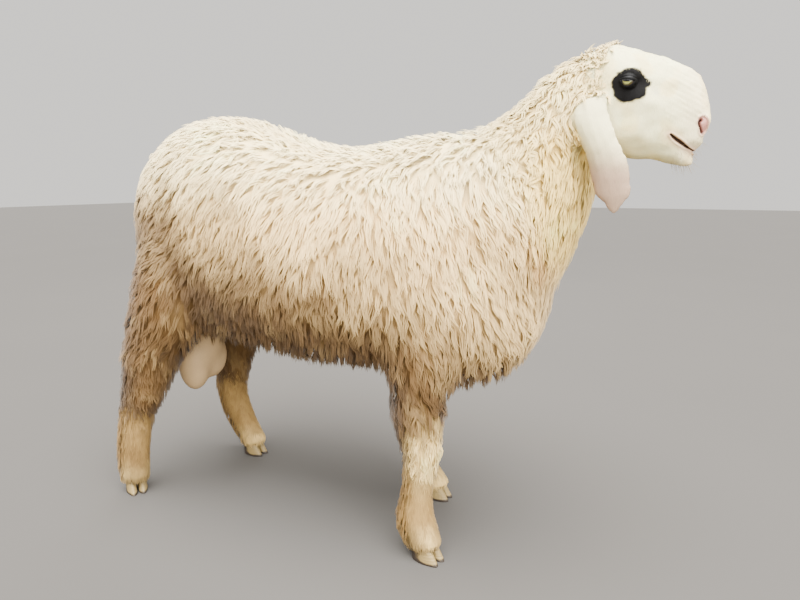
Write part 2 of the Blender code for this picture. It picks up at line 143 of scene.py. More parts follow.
def curve_through(points: Sequence[Sequence[float]], steps: int = 12) -> Array:
    """Points along a smooth curve through the given ones."""
    rows = np.array(points, float)
    rows = np.vstack([2 * rows[0] - rows[1], rows, 2 * rows[-1] - rows[-2]])
    out = []
    for a, b, c, d in zip(rows, rows[1:], rows[2:], rows[3:]):
        for t in np.arange(steps) / steps:
            bend = 2 * a - 5 * b + 4 * c - d
            twist = 3 * b - a - 3 * c + d
            out.append(b + 0.5 * ((c - a) * t + bend * t**2 + twist * t**3))
    out.append(rows[-2])
    return np.array(out)


def nearest_on(curve: Array, points: Array) -> tuple[Array, Array]:
    """How far each point is from a curve, and at what share of the curve the nearest place is."""
    best = np.full(len(points), np.inf)
    where = np.zeros(len(points))
    for i, spot in enumerate(curve):
        gap = ((points - spot) ** 2).sum(axis=1)
        closer = gap < best
        best[closer] = gap[closer]
        where[closer] = i
    return np.sqrt(best), where / (len(curve) - 1)


def distance_to(curve: Array, points: Array) -> Array:
    """How far each point is from a curve."""
    return nearest_on(curve, points)[0]


def distance_from(spot: Array, points: Array) -> Array:
    """How far each point is from a spot."""
    return np.linalg.norm(points - spot, axis=1)


# ---------------------------------------------------------------- shader maths


class Value:
    """A socket's value, on which an expression adds the nodes that work it out."""

    def __init__(self, graph: "Graph", socket: bpy.types.NodeSocket) -> None:
        """Holds the graph and the output socket."""
        self.graph = graph
        self.socket = socket

    def _maths(self, operation: str, first: Number, second: Number) -> "Value":
        """A Math node on two numbers or values."""
        return self.graph.add("ShaderNodeMath", {"operation": operation}, {0: first, 1: second})

    def __add__(self, other: Number) -> "Value":
        """self + other"""
        return self._maths("ADD", self, other)

    __radd__ = __add__

    def __sub__(self, other: Number) -> "Value":
        """self - other"""
        return self._maths("SUBTRACT", self, other)

    def __rsub__(self, other: Number) -> "Value":
        """other - self"""
        return self._maths("SUBTRACT", other, self)

    def __mul__(self, other: Number) -> "Value":
        """self * other"""
        return self._maths("MULTIPLY", self, other)

    __rmul__ = __mul__

    def __pow__(self, other: Number) -> "Value":
        """self ** other"""
        return self._maths("POWER", self, other)

    def eased(self, low: float, high: float) -> "Value":
        """0 at low and 1 at high, with a smooth way between."""
        settings = {"interpolation_type": "SMOOTHSTEP"}
        return self.graph.add(
            "ShaderNodeMapRange", settings, {"Value": self, "From Min": low, "From Max": high}
        )


class Graph:
    """The node tree of one new material."""

    def __init__(self, name: str, constants: dict[str, object]) -> None:
        """Makes the material with its Principled shader.

        Args:
            name: the material's name.
            constants: what is the same all over, by the names of the shader's sockets.
        """
        self.material = bpy.data.materials.new(name)
        self.material.use_nodes = True
        self.tree = self.material.node_tree
        self.shader = self.tree.nodes["Principled BSDF"]
        for socket, value in constants.items():
            self.shader.inputs[socket].default_value = value

    def add(
        self,
        kind: str,
        settings: Optional[dict[str, object]] = None,
        sockets: Optional[dict[object, object]] = None,
        output: object = 0,
    ) -> Value:
        """Adds a node.

        Args:
            kind: the node's type.
            settings: its settings.
            sockets: what its input sockets hold or are linked to.
            output: which of its outputs is given back.

        Returns:
            The value of that output.
        """
        node = self.tree.nodes.new(kind)
        for name, value in (settings or {}).items():
            setattr(node, name, value)
        for name, value in (sockets or {}).items():
            if isinstance(value, Value):
                self.tree.links.new(value.socket, node.inputs[name])
            else:
                node.inputs[name].default_value = value
        return Value(self, node.outputs[output])

    def attribute(self, name: str, output: str = "Color") -> Value:
        """What the mesh holds under a name."""
        settings = {"attribute_type": "GEOMETRY", "attribute_name": name}
        return self.add("ShaderNodeAttribute", settings, {}, output)

    def parts(self, vector: Value) -> tuple[Value, Value, Value]:
        """The three numbers of a vector."""
        first = self.add("ShaderNodeSeparateXYZ", {}, {0: vector}, 0)
        node = first.socket.node
        return first, Value(self, node.outputs[1]), Value(self, node.outputs[2])

    def place(self, stretch: Sequence[float] = (1, 1, 1), lean: float = 0.0) -> Value:
        """Places in the model's own metres, stretched and turned about Y."""
        where = self.add("ShaderNodeTexCoord", {}, {}, "Object")
        sockets = {"Vector": where, "Scale": stretch, "Rotation": (0.0, lean, 0.0)}
        return self.add("ShaderNodeMapping", {}, sockets)

    def vector(self, x: Number, y: Number, z: Number) -> Value:
        """A vector of three numbers."""
        return self.add("ShaderNodeCombineXYZ", {}, {0: x, 1: y, 2: z})

    def noise(
        self, scale: float, detail: float = 3.0, at: Optional[Value] = None, **placing: object
    ) -> Value:
        """Smooth noise from 0 to 1, at a vector or at the model's own places."""
        where = self.place(**placing) if at is None else at
        sockets = {"Vector": where, "Scale": scale, "Detail": detail}
        return self.add("ShaderNodeTexNoise", {}, sockets, "Fac")

    def blend(self, first: object, second: object, share: Number, how: str = "MIX") -> Value:
        """Two colours mixed in one of Blender's ways."""
        settings = {"data_type": "RGBA", "blend_type": how}
        sockets = {0: share, 6: first, 7: second}
        return self.add("ShaderNodeMix", settings, sockets, 2)

    def scaled(self, colour: Value, amount: Value) -> Value:
        """A colour made lighter or darker by a number."""
        return self.add(
            "ShaderNodeVectorMath", {"operation": "SCALE"}, {0: colour, "Scale": amount}
        )

    def bumped(self, height: Value, distance: float, strength: float = 1.0) -> Value:
        """The normal bent by a height."""
        sockets = {"Height": height, "Distance": distance, "Strength": strength}
        return self.add("ShaderNodeBump", {}, sockets, "Normal")

    def feed(self, **sockets: Value) -> bpy.types.Material:
        """Links values to the shader's sockets, named with _ for a space."""
        for name, value in sockets.items():
            self.tree.links.new(value.socket, self.shader.inputs[name.replace("_", " ")])
        return self.material


# ---------------------------------------------------------------- finishes


def rgba(colour: Sequence[float]) -> tuple[float, ...]:
    """A colour for a socket."""
    return (*(float(c) for c in colour), 1.0)


@dataclass(frozen=True)
class WoolFinish:
    """Wool and hair: painted shade, warmer and darker towards the roots where the locks shade each other,
    and each lock a little apart.

    Args:
        name: the material's name.
        root: what its colour is multiplied by at the root: a painted shade for the depth between the
            locks.
        variety: how far one lock's lightness differs from another's.
        streaks: how strongly single fibres show along a strand.
        roughness: of its surface.
        sheen: of its fuzz.
        depth: of the grooves between fibres, in metres.
    """

    name: str = "wool"
    root: Colour = (0.96, 0.90, 0.79)
    variety: float = 0.08
    streaks: float = 0.10
    roughness: float = 0.8
    sheen: float = 0.15
    depth: float = 0.00016

    def material(self) -> bpy.types.Material:
        """Makes the material."""
        constants = {
            "Roughness": self.roughness,
            "Sheen Weight": self.sheen,
            "Sheen Roughness": 0.5,
            "Specular IOR Level": 0.1,
        }
        graph = Graph(self.name, constants)
        along, luck, across = graph.parts(graph.attribute(STRAND, "Vector"))
        fibre = graph.noise(7.0, 2.0, at=graph.vector(across, along * 0.9, luck * 31.0))
        # Painted shade: near the root the colour is multiplied by the root's warm dark tone, which fades
        # out a little past halfway along.
        tone = graph.blend(rgba(self.root), rgba((1.0, 1.0, 1.0)), along.eased(0.0, 0.55))
        colour = graph.blend(graph.attribute(TINT), tone, 1.0, "MULTIPLY")
        light = 1.0 - self.variety / 2 - self.streaks / 2 + self.variety * luck
        colour = graph.scaled(colour, light + self.streaks * fibre)
        return graph.feed(Base_Color=colour, Normal=graph.bumped(fibre, self.depth, 1.0))


@dataclass(frozen=True)
class SkinFinish:
    """The skin: under wool hardly seen, elsewhere covered by short hair that lies flat."""

    name: str = "skin"
    roughness: float = 0.62

    def material(self) -> bpy.types.Material:
        """Makes the material."""
        graph = Graph(self.name, {"Specular IOR Level": 0.1, "Coat Roughness": 0.28})
        tint = graph.attribute(TINT)
        bare, wet, lean = graph.parts(graph.attribute(BARE, "Vector"))
        down = graph.noise(140.0, 3.0, stretch=(6.0, 6.0, 1.0))
        forward = graph.noise(140.0, 3.0, stretch=(1.2, 6.0, 6.0), lean=math.radians(35))
        hair = down * (1.0 - lean) + forward * lean
        pores = graph.add(
            "ShaderNodeTexVoronoi", {}, {"Vector": graph.place(), "Scale": 520.0}, "Distance"
        )
        grain = hair * (1.0 - bare) + (1.0 - pores) * bare * 0.35
        patches = graph.noise(60.0, 4.0)
        light = 0.84 + 0.20 * grain + 0.12 * patches - 0.06
        return graph.feed(
            Base_Color=graph.scaled(tint, light),
            Roughness=self.roughness - 0.15 * bare,
            Coat_Weight=0.7 * wet,
            Normal=graph.bumped(grain, 0.0009, 0.55),
        )


@dataclass(frozen=True)
class HornFinish:
    """Hoof horn: ochre with growth rings, dark towards the heel and the worn edge."""

    name: str = "hoof_horn"
    pale: Colour = tuple(srgb(142, 120, 74))
    dark: Colour = tuple(srgb(52, 42, 32))

    def material(self) -> bpy.types.Material:
        """Makes the material."""
        graph = Graph(self.name, {"Specular IOR Level": 0.45})
        dark, high, _ = graph.parts(graph.attribute(STRAND, "Vector"))
        mottle = graph.noise(90.0, 5.0)
        rings = graph.noise(36.0, 3.0, stretch=(0.6, 0.6, 14.0))
        share = (dark + (mottle - 0.5) * 0.7).eased(0.25, 0.75)
        colour = graph.blend(rgba(self.pale), rgba(self.dark), share)
        colour = graph.scaled(colour, 0.78 + 0.28 * rings + 0.12 * high)
        streaks = graph.noise(260.0, 2.0, stretch=(1.0, 1.0, 0.12))
        return graph.feed(
            Base_Color=colour,
            Roughness=0.42 + 0.22 * mottle,
            Normal=graph.bumped(rings + 0.3 * streaks, 0.0012, 0.7),
        )


@dataclass(frozen=True)
class EyeFinish:
    """A sheep's eye: a yellow-green iris with a level slot of a pupil, under a wet cornea."""

    name: str = "eye"
    iris: Colour = tuple(srgb(186, 186, 92))
    rim: Colour = tuple(srgb(62, 48, 22))
    white: Colour = tuple(srgb(46, 36, 32))

    def material(self) -> bpy.types.Material:
        """Makes the material."""
        graph = Graph(self.name, {"Roughness": 0.14, "Coat Weight": 0.3, "Coat Roughness": 0.04})
        across, up, _ = graph.parts(graph.attribute(STRAND, "Vector"))
        radius = (across * across + up * up) ** 0.5
        rays = graph.noise(900.0, 3.0)
        iris = graph.blend(
            rgba(self.iris), rgba(self.rim), (radius + 0.25 * (rays - 0.5)).eased(0.55, 1.0)
        )
        flat = ((across * 0.60) * (across * 0.60)) ** 1.5 + ((up * 0.98) * (up * 0.98)) ** 1.5
        pupil = (flat ** 0.3333).eased(0.41, 0.36)
        colour = graph.blend(iris, rgba((0.004, 0.004, 0.006)), pupil)
        colour = graph.blend(colour, rgba(self.white), radius.eased(0.98, 1.06))
        return graph.feed(Base_Color=colour)


@dataclass(frozen=True)
class WetFinish:
    """Dark bare rims, such as the edges of the lids."""

    name: str = "lid_edge"
    colour: Colour = tuple(srgb(14, 12, 12))

    def material(self) -> bpy.types.Material:
        """Makes the material."""
        graph = Graph(self.name, {"Roughness": 0.22, "Specular IOR Level": 0.6})
        mottle = graph.noise(500.0, 3.0)
        colour = graph.blend(rgba(self.colour), rgba(srgb(44, 38, 36)), mottle * 0.6)
        return graph.feed(Base_Color=colour, Normal=graph.bumped(mottle, 0.0003, 0.5))


@dataclass(frozen=True)
class FloorFinish:
    """A plain pale studio floor."""

    name: str = "floor"
    colour: Colour = tuple(srgb(78, 75, 71))

    def material(self) -> bpy.types.Material:
        """Makes the material."""
        graph = Graph(self.name, {"Roughness": 0.9, "Specular IOR Level": 0.2})
        shades = [rgba(np.array(self.colour) * share) for share in (0.97, 1.03)]
        return graph.feed(Base_Color=graph.blend(*shades, graph.noise(1.3, 2.0)))


# ---------------------------------------------------------------- the animal's places


class Region(Enum):
    """Parts of the body, each with the frame's nodes that it takes in."""

    TRUNK = ("forequarter", "barrel", "hindquarter")
    NECK = ("neck",)
    HEAD = ("head", "jaw")
    EAR = ("ear_left", "ear_right")
    UPPER_LEG = ("forearm_left", "forearm_right", "gaskin_left", "gaskin_right")
    LOWER_LEG = ("fore_cannon_left", "fore_cannon_right", "hind_cannon_left", "hind_cannon_right")
    TAIL = ("tail",)
    SCROTUM = ("scrotum",)


REGIONS = list(Region)
FORE = -0.15  # legs ahead of this X are forelegs


def share_of(shares: Array, *regions: Region) -> Array:
    """Each point's share in some regions together."""
    return sum(shares[:, REGIONS.index(region)] for region in regions)


def within(owners: Array, *regions: Region) -> Array:
    """Which points belong to some regions, from the number of each point's own one."""
    return np.isin(owners, [REGIONS.index(region) for region in regions])


def middle_of(node: str) -> Array:
    """The middle of a node's box."""
    low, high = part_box(node)
    return np.array((low + high) / 2)


@dataclass(frozen=True)
class Leg:
    """One of the four legs.

    Args:
        word: fore or hind.
        side: right or left.
    """

    word: str
    side: str

    def centre(self, heights: Array) -> Array:
        """X and Y of its middle line at some heights."""
        upper = "forearm" if self.word == "fore" else "gaskin"
        nodes = (f"{self.word}_cannon_{self.side}", f"{upper}_{self.side}")
        middles = np.array([middle_of(node) for node in nodes])
        return columns(*(np.interp(heights, middles[:, 2], middles[:, axis]) for axis in (0, 1)))

    def holds(self, points: Array) -> Array:
        """Which points are on its side of the animal, ahead or behind."""
        near = (points[:, 0] > FORE) == (self.word == "fore")
        return near & (points[:, 1] * SIDES[self.side] > 0)


LEGS = [Leg(word, side) for word in ("fore", "hind") for side in SIDES]


@dataclass
class Landmarks:
    """Places on the body, worked out from the boxes of the frame's nodes.

    Args:
        lid_gap: how far the lids are open from the gap's middle: to a corner, up and down.
    """

    lid_gap: Triple = (0.0084, 0.0008, 0.0068)

    def __post_init__(self) -> None:
        """Reads the boxes."""
        self.eyes = {side: middle_of(f"eye_{side}") for side in SIDES}
        low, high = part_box("eye_right")
        self.eye_radius = (high.z - low.z) / 2
        self.nose = np.array(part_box("head")[1])
        self.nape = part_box("head")[0].x
        self.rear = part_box("tail")[0].x

    def from_eye(self, forward: float, across: float, up: float, side: str = "right") -> Array:
        """A place given from an eye's centre; across is towards the outside of the head."""
        return self.eyes[side] + np.array([forward, SIDES[side] * across, up])

    def to_eyes(self, points: Array) -> Array:
        """How far each point is from the nearer eye's centre."""
        return np.minimum(*(distance_from(eye, points) for eye in self.eyes.values()))

    def lid(self, side: str, **facing: Triple) -> "Eyelid":
        """The opening of one eye's lids."""
        return Eyelid(self.eyes[side], SIDES[side], self.eye_radius, self.lid_gap, **facing)


@dataclass(frozen=True)
class Eyelid:
    """One eye's opening.

    Args:
        centre: of the eyeball.
        side: 1 on the left of the animal, -1 on the right.
        radius: of the eyeball.
        opening: from the gap's middle to a corner, up and down.
        facing: which way the gap faces, on the left of the animal.
    """

    centre: Array
    side: float
    radius: float
    opening: Triple
    facing: Triple = (-0.06, 0.99, 0.06)

    def axes(self) -> tuple[Array, Array, Array]:
        """Along the gap towards the nose, up across it, and out of it."""
        out = unit(np.array(self.facing) * (1, self.side, 1))
        along = np.array([1.0, 0.0, -0.10])
        along = unit(along - out * (along @ out))
        up = np.cross(out, along)
        return along, unit(up * np.sign(up[2])), out

    def local(self, points: Array) -> Array:
        """Points as (along, up, out) from the eye's centre."""
        return (points - self.centre) @ np.array(self.axes()).T

    def edge(self, along: Array, upper: bool) -> Array:
        """Height of a lid's edge at places along the gap."""
        half, above, below = self.opening
        share = np.clip(1.0 - (along / half) ** 2, 0.0, 1.0)
        return above * share**0.60 if upper else -below * share**0.75

    def inside(self, points: Array) -> Array:
        """How far inside the gap each point lies: above 0 inside, below 0 outside."""
        place = self.local(points)
        along, up = place[:, 0], place[:, 1]
        half = self.opening[0]
        upper = self.edge(along, True) - up
        lower = up - self.edge(along, False)
        ends = (half - np.abs(along)) * 0.8
        return np.where(place[:, 2] > 0, np.minimum(np.minimum(upper, lower), ends), -1.0)


def paint(red: int, green: int, blue: int) -> Array:
    """A field that holds a colour."""
    return field(default_factory=lambda: srgb(red, green, blue))


@dataclass
class Markings:
    """The coat's and the skin's colours, from place and part of the body alone."""

    marks: Landmarks
    creases: Optional["Creases"] = None
    back: Array = paint(253, 228, 168)
    cream: Array = paint(246, 207, 140)
    tan: Array = paint(113, 85, 50)
    brown: Array = paint(84, 62, 37)
    yellow: Array = paint(255, 216, 122)
    rust: Array = paint(172, 114, 60)
    leg: Array = paint(167, 134, 80)
    pastern: Array = paint(255, 219, 142)
    white: Array = paint(255, 246, 190)
    pink: Array = paint(226, 176, 154)
    flesh: Array = paint(206, 140, 126)
    ear: Array = paint(160, 130, 108)
    black: Array = paint(8, 6, 5)
    hide: Array = paint(198, 166, 122)
    grey: Array = paint(150, 146, 142)
    # Painted shade in the crease where the lips meet.
    lip_crease_shade: Array = paint(84, 64, 52)
    # Painted shade in the deep slits of the nostrils.
    nostril: Array = paint(48, 24, 20)
    lid: Array = paint(8, 7, 7)

    # Height of the edge between clean and stained wool, along the trunk, and how far above
    # and below it the stain begins and is full.
    STAIN_X = (-0.66, -0.56, -0.44, -0.30, -0.20, -0.08, 0.05, 0.20, 0.29, 0.36, 0.46)
    STAIN_Z = (0.79, 0.775, 0.715, 0.70, 0.665, 0.605, 0.60, 0.575, 0.485, 0.44, 0.40)
    STAIN_FADE = (0.15, -0.13)

    # Rust-coloured spots on the right side: X, Z and reach.
    RUST = ((0.232, 0.655, 0.012), (0.400, 0.690, 0.016), (0.410, 0.660, 0.014))

    def stain(self, points: Array) -> Array:
        """How tan the wool is, from 0 to 1."""
        edge = np.interp(points[:, 0], self.STAIN_X, self.STAIN_Z)
        edge = edge + 0.035 * Ripple(0.22, 5).at(points) + 0.018 * Ripple(0.05, 6).at(points)
        return ease(points[:, 2], *(edge + fade for fade in self.STAIN_FADE))

    # The black patch's reach from its middle, at degrees upwards from the way to the nose,
    # how far its edge strays and how soft it is.
    PATCH_MIDDLE = (0.004, -0.004)
    PATCH_TURN = (-163, -128, -95, -66, -42, -17, 4, 22, 40, 60, 90, 125, 155, 180)
    PATCH_REACH = (
        0.0285, 0.0330, 0.0306, 0.0300, 0.0330, 0.0285, 0.0345,
        0.0260, 0.0250, 0.0285, 0.0268, 0.0270, 0.0296, 0.0327,
    )
    PATCH_STRAY, PATCH_SOFT = 0.0007, 0.0018

    def patch(self, points: Array, side: str = "right") -> Array:
        """How black the hair is round an eye, from 0 to 1."""
        place = points - self.marks.eyes[side]
        forward, up = place[:, 0] - self.PATCH_MIDDLE[0], place[:, 2] - self.PATCH_MIDDLE[1]
        turn = np.degrees(np.arctan2(up, forward))
        reach = np.interp(turn, self.PATCH_TURN, self.PATCH_REACH, period=360)
        reach = reach + self.PATCH_STRAY * Ripple(0.008, 9).at(points)
        near = np.abs(place[:, 1]) < 0.045
        return ease(np.hypot(forward, up), reach + self.PATCH_SOFT, reach - self.PATCH_SOFT) * near

    def smudge(self, points: Array) -> Array:
        """The faint grey trail in front of the patch."""
        places = ((0.030, 0.006, 0.004), (0.040, 0.002, -0.006), (0.048, -0.004, -0.018))
        curve = curve_through([self.marks.from_eye(*place) for place in places])
        return bell(distance_to(curve, points), 0.006)

    def wool(self, points: Array, shares: Array) -> Array:
        """Colours of wool that grows at these places.

        Args:
            points: where it grows.
            shares: for each point, its share in each of REGIONS.
        """
        x, y, z = points.T
        neck, head = share_of(shares, Region.NECK), share_of(shares, Region.HEAD)
        upper, lower = share_of(shares, Region.UPPER_LEG), share_of(shares, Region.LOWER_LEG)
        tail = share_of(shares, Region.TAIL)
        front, stain = self._front(points), self.stain(points)
        knee = ease(z + 0.012 * Ripple(0.05, 11).at(points), 0.365, 0.270) * (x > FORE)
        pale = ease(z, 0.72, 0.86) * ease(x, -0.68, -0.50)
        low = ease(z, 0.50, 0.40) * ease(Ripple(0.09, 8).at(points), -0.8, 1.2)
        throat = ease(x, 0.365, 0.445) * ease(z, 0.62, 0.72) * ease(z, 0.93, 0.86)
        behind_ear = bell(np.hypot(x - 0.44, z - 0.84), 0.07) * neck
        streaks = ease(Ripple(0.06, 12).at(points), 0.2, 1.4)
        spots = [
            (self.rust, 0.6 * bell(np.hypot(x - ahead, z - up), reach) * (y < 0))
            for ahead, up, reach in self.RUST
        ]
        colour = painted(
            mix(self.cream, self.back, pale),
            (self.yellow * 0.90, 0.28 * np.clip(neck + 1.4 * head, 0, 1)),
            (self.tan, stain * (1 - neck)),
            (self.brown, 0.75 * low * (1 - neck) * ease(x, 0.26, 0.12)),
            (self.yellow, np.clip(0.85 * throat + 0.4 * behind_ear, 0, 0.85)),
            (self.cream, 0.18 * streaks * stain),
            (self.leg, lower * 0.9),
            (self.tan, upper * 0.35),
            (self.brown, 0.80 * upper * (1 - front)),
            (self.pastern, knee * front),
            (self.tan, tail * 0.5 * ease(z, 0.75, 0.55)),
            *spots,
        )
        mottle = 1.0 + 0.035 * Ripple(0.11, 14).at(points) + 0.03 * Ripple(0.03, 15).at(points)
        return np.clip(colour * mottle[:, None], 0, 1)

    @staticmethod
    def _front(points: Array) -> Array:
        """How far each point of a leg is on the leg's front, from 0 to 1."""
        out = np.zeros(len(points))
        for leg in LEGS:
            ahead = points[:, 0] - leg.centre(points[:, 2])[:, 0]
            out = np.where(leg.holds(points), ease(ahead, -0.035, 0.015), out)
        return out

    def short(self, points: Array, shares: Array) -> Array:
        """Colours of short hair, and of the skin where it is bare."""
        x, _, z = points.T
        nose, creases = self.marks.nose[0], self.creases
        ear, scrotum = share_of(shares, Region.EAR), share_of(shares, Region.SCROTUM)
        legs = share_of(shares, Region.LOWER_LEG, Region.UPPER_LEG)
        fore = 1.0 * (x > FORE) * self._front(points)
        warm = ease(Ripple(0.045, 23).at(points), -0.2, 1.4)
        warm = np.clip(0.5 * warm + 0.4 * ease(z, 0.93, 0.86) * ease(x, 0.60, 0.54), 0, 0.8)
        layers = [
            (self.yellow, 0.6 * warm * (1 - ear)),
            (self.pink, 0.22 * ease(x, nose - 0.075, nose - 0.02)),
        ]
        for hand in SIDES.values():
            lips = distance_to(creases.mouth(hand), points)
            wing = distance_to(creases.nostril(hand), points)
            layers += [
                (self.pink, 0.7 * bell(lips, 0.008)),
                (self.pink, 0.8 * ease(wing, 0.014, 0.008)),
                (self.flesh, 0.9 * ease(wing, 0.0085, 0.0065)),
            ]
        leg = painted(
            np.tile(self.leg, (len(points), 1)),
            (self.pastern, bell(z - 0.250, 0.06) * fore),
            (self.pastern, 0.6 * ease(z, 0.11, 0.05)),
            (self.tan, 0.45 * ease(Ripple(0.07, 21).at(points), 0.0, 1.3)),
            (self.tan, 0.35 * ease(Ripple(0.012, 22).at(points), 0.0, 1.4)),
        )
        colour = painted(
            np.tile(self.white, (len(points), 1)),
            *layers,
            (self.ear, ear * (0.20 + 0.75 * ease(z, 0.89, 0.81))),
            (leg, np.clip(1.6 * legs, 0, 1)),
            (self.hide, scrotum),
            (self.grey, 0.45 * self.smudge(points)),
            *((self.black, self.patch(points, side)) for side in SIDES),
        )
        mottle = 1.0 + 0.02 * Ripple(0.05, 17).at(points)
        return np.clip(colour * mottle[:, None], 0, 1)


@dataclass(frozen=True)
class Creases:
    """The mouth and the nostrils, as curves laid on the surface of the head.

    Their points are given as degrees from straight ahead round an upright axis in the muzzle,
    and as depth below the top of the head.
    """

    marks: Landmarks
    tree: BVHTree

    MOUTH = ((67, 0.1656), (57, 0.1727), (46, 0.1795), (33, 0.1868), (14, 0.1923), (0, 0.1935))
    MOUTH_AXIS = 0.079  # behind the tip of the nose
    SLIT = ((61, 0.1420), (66, 0.1466), (64, 0.1523), (58, 0.1580), (46, 0.1640))
    NOSTRIL = ((57, 0.1434), (52, 0.1499), (48, 0.1587))
    NOSTRIL_AXIS = 0.034
    OUTSIDE = 0.2  # from an axis to well outside the head

    def _laid(self, rows: Sequence[tuple[float, float]], back: float, hand: float) -> Array:
        """A curve through places given by turn and depth."""
        nose = self.marks.nose
        spots = []
        for turn, drop in rows:
            away = Vector((math.cos(math.radians(turn)), hand * math.sin(math.radians(turn)), 0))
            axis = Vector((nose[0] - back, 0.0, nose[2] - drop))
            hit = self.tree.ray_cast(axis + away * self.OUTSIDE, -away, self.OUTSIDE)[0]
            spots.append(hit or self.tree.find_nearest(axis + away * 0.05)[0])
        return curve_through(spots, 12)

    def mouth(self, hand: float) -> Array:
        """Where the lips meet, from the corner to the front."""
        return self._laid(self.MOUTH, self.MOUTH_AXIS, hand)

    def apart(self, points: Array) -> list[Array]:
        """How far each point is from the nearer side of the mouth, and of the nostrils."""
        return [
            np.minimum(*(distance_to(curve(hand), points) for hand in SIDES.values()))
            for curve in (self.mouth, self.nostril)
        ]

    def slit(self, hand: float) -> Array:
        """The nostril's deep slit, from its rear end forwards and down."""
        return self._laid(self.SLIT, self.NOSTRIL_AXIS, hand)

    def nostril(self, hand: float) -> Array:
        """The middle of the nostril's bare wing."""
        return self._laid(self.NOSTRIL, self.NOSTRIL_AXIS, hand)


# ---------------------------------------------------------------- meshes


def read_points(mesh: bpy.types.Mesh) -> Array:
    """A mesh's points as rows."""
    out = np.empty(len(mesh.vertices) * 3, np.float32)
    mesh.vertices.foreach_get("co", out)
    return out.reshape(-1, 3).astype(float)


def read_triangles(mesh: bpy.types.Mesh) -> Array:
    """A mesh's faces, split into triangles."""
    mesh.calc_loop_triangles()
    out = np.empty(len(mesh.loop_triangles) * 3, np.int32)
    mesh.loop_triangles.foreach_get("vertices", out)
    return out.reshape(-1, 3)


def read_edges(mesh: bpy.types.Mesh) -> Array:
    """A mesh's edges as pairs of points."""
    out = np.empty(len(mesh.edges) * 2, np.int32)
    mesh.edges.foreach_get("vertices", out)
    return out.reshape(-1, 2)


def mesh_of(name: str, points: Array, triangles: Array) -> bpy.types.Mesh:
    """A smooth-shaded mesh of triangles."""
    mesh = bpy.data.meshes.new(name)
    mesh.vertices.add(len(points))
    mesh.vertices.foreach_set("co", np.ascontiguousarray(points, np.float32).ravel())
    mesh.loops.add(len(triangles) * 3)
    mesh.loops.foreach_set("vertex_index", np.ascontiguousarray(triangles, np.int32).ravel())
    mesh.polygons.add(len(triangles))
    mesh.polygons.foreach_set("loop_start", np.arange(len(triangles), dtype=np.int32) * 3)
    mesh.update(calc_edges=True)
    mesh.shade_smooth()
    return mesh


def move(mesh: bpy.types.Mesh, points: Array) -> None:
    """Moves a mesh's points to new places."""
    mesh.vertices.foreach_set("co", points.astype(np.float32).ravel())
    mesh.update()
    mesh.shade_smooth()


def worked(mesh: bpy.types.Mesh, work: Callable[[bmesh.types.BMesh], object]) -> bpy.types.Mesh:
    """Changes a mesh, which may be empty, with bmesh's tools, and gives it back."""
    form = bmesh.new()
    if len(mesh.vertices):
        form.from_mesh(mesh)
    work(form)
    form.to_mesh(mesh)
    form.free()
    return mesh


def linked(name: str, data: bpy.types.ID) -> bpy.types.Object:
    """A new object in the scene."""
    item = bpy.data.objects.new(name, data)
    bpy.context.scene.collection.objects.link(item)
    return item


def fused(mesh: bpy.types.Mesh, voxel: float, soften: int = 0) -> bpy.types.Mesh:
    """A mesh's closed forms fused into one.

    Args:
        mesh: the forms, which may overlap.
        voxel: size of the new faces.
        soften: how many times the new mesh is smoothed.

    Returns:
        The new mesh.
    """
    item = linked("fused", mesh)
    fuse = item.modifiers.new("fuse", "REMESH")
    fuse.mode = "VOXEL"
    fuse.voxel_size = voxel
    if soften:
        item.modifiers.new("soften", "SMOOTH").iterations = soften
    graph = bpy.context.evaluated_depsgraph_get()
    out = bpy.data.meshes.new_from_object(item.evaluated_get(graph))
    bpy.data.objects.remove(item, do_unlink=True)
    return out


def hold(mesh: bpy.types.Mesh, name: str, rows: Array) -> None:
    """Gives each point of a mesh a colour or a vector under a name."""
    rows = np.asarray(rows, np.float32)
    if name == TINT:
        rows = np.hstack([rows, np.ones((len(rows), 1), np.float32)])
        layer = mesh.color_attributes.new(name, "FLOAT_COLOR", "POINT")
        layer.data.foreach_set("color", rows.ravel())
        return
    layer = mesh.attributes.new(name, "FLOAT_VECTOR", "POINT")
    layer.data.foreach_set("vector", rows.ravel())


def put(name: str, mesh: bpy.types.Mesh, material: bpy.types.Material, slot: str) -> bpy.types.Object:
    """Sets a mesh in the scene as a piece that rides on the body.

    Args:
        name: the piece's name.
        mesh: its shape.
        material: its finish.
        slot: not used.

    Returns:
        The object.
    """
    mesh.name = name
    mesh.materials.clear()
    mesh.materials.append(material)
    piece = linked(name, mesh)
    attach(piece, "root")
    LOG.info("%s: %d points, %d faces", name, len(mesh.vertices), len(mesh.polygons))
    return piece


def point_normals(points: Array, triangles: Array) -> Array:
    """A unit normal for each point."""
    a, b, c = (points[triangles[:, i]] for i in range(3))
    facing = np.cross(b - a, c - a)
    total = np.zeros_like(points)
    for i in range(3):
        for axis in range(3):
            total[:, axis] += np.bincount(triangles[:, i], facing[:, axis], len(points))
    return unit(total)


def spread(rows: Array, edges: Array, passes: int, strength: Union[float, Array] = 1.0) -> Array:
    """Each point's row drawn towards the mean of its neighbours, several times over."""
    count = np.bincount(edges.ravel(), minlength=len(rows)).clip(1)
    share = np.broadcast_to(np.asarray(strength, float), len(rows))
    ends = np.concatenate([edges[:, 0], edges[:, 1]])
    others = np.concatenate([edges[:, 1], edges[:, 0]])
    rows = np.array(rows, float)
    flat = rows.reshape(len(rows), -1)
    for _ in range(passes):
        mean = np.stack(
            [np.bincount(ends, column[others], len(rows)) / count for column in flat.T], axis=1
        )
        flat = flat + (mean - flat) * share[:, None]
    return flat.reshape(rows.shape)


# ---------------------------------------------------------------- the skin


@dataclass
class Sites:
    """Places on the skin where locks grow."""

    points: Array
    normals: Array
    form: Array
    lies: Array
    shares: Array
    depths: Array


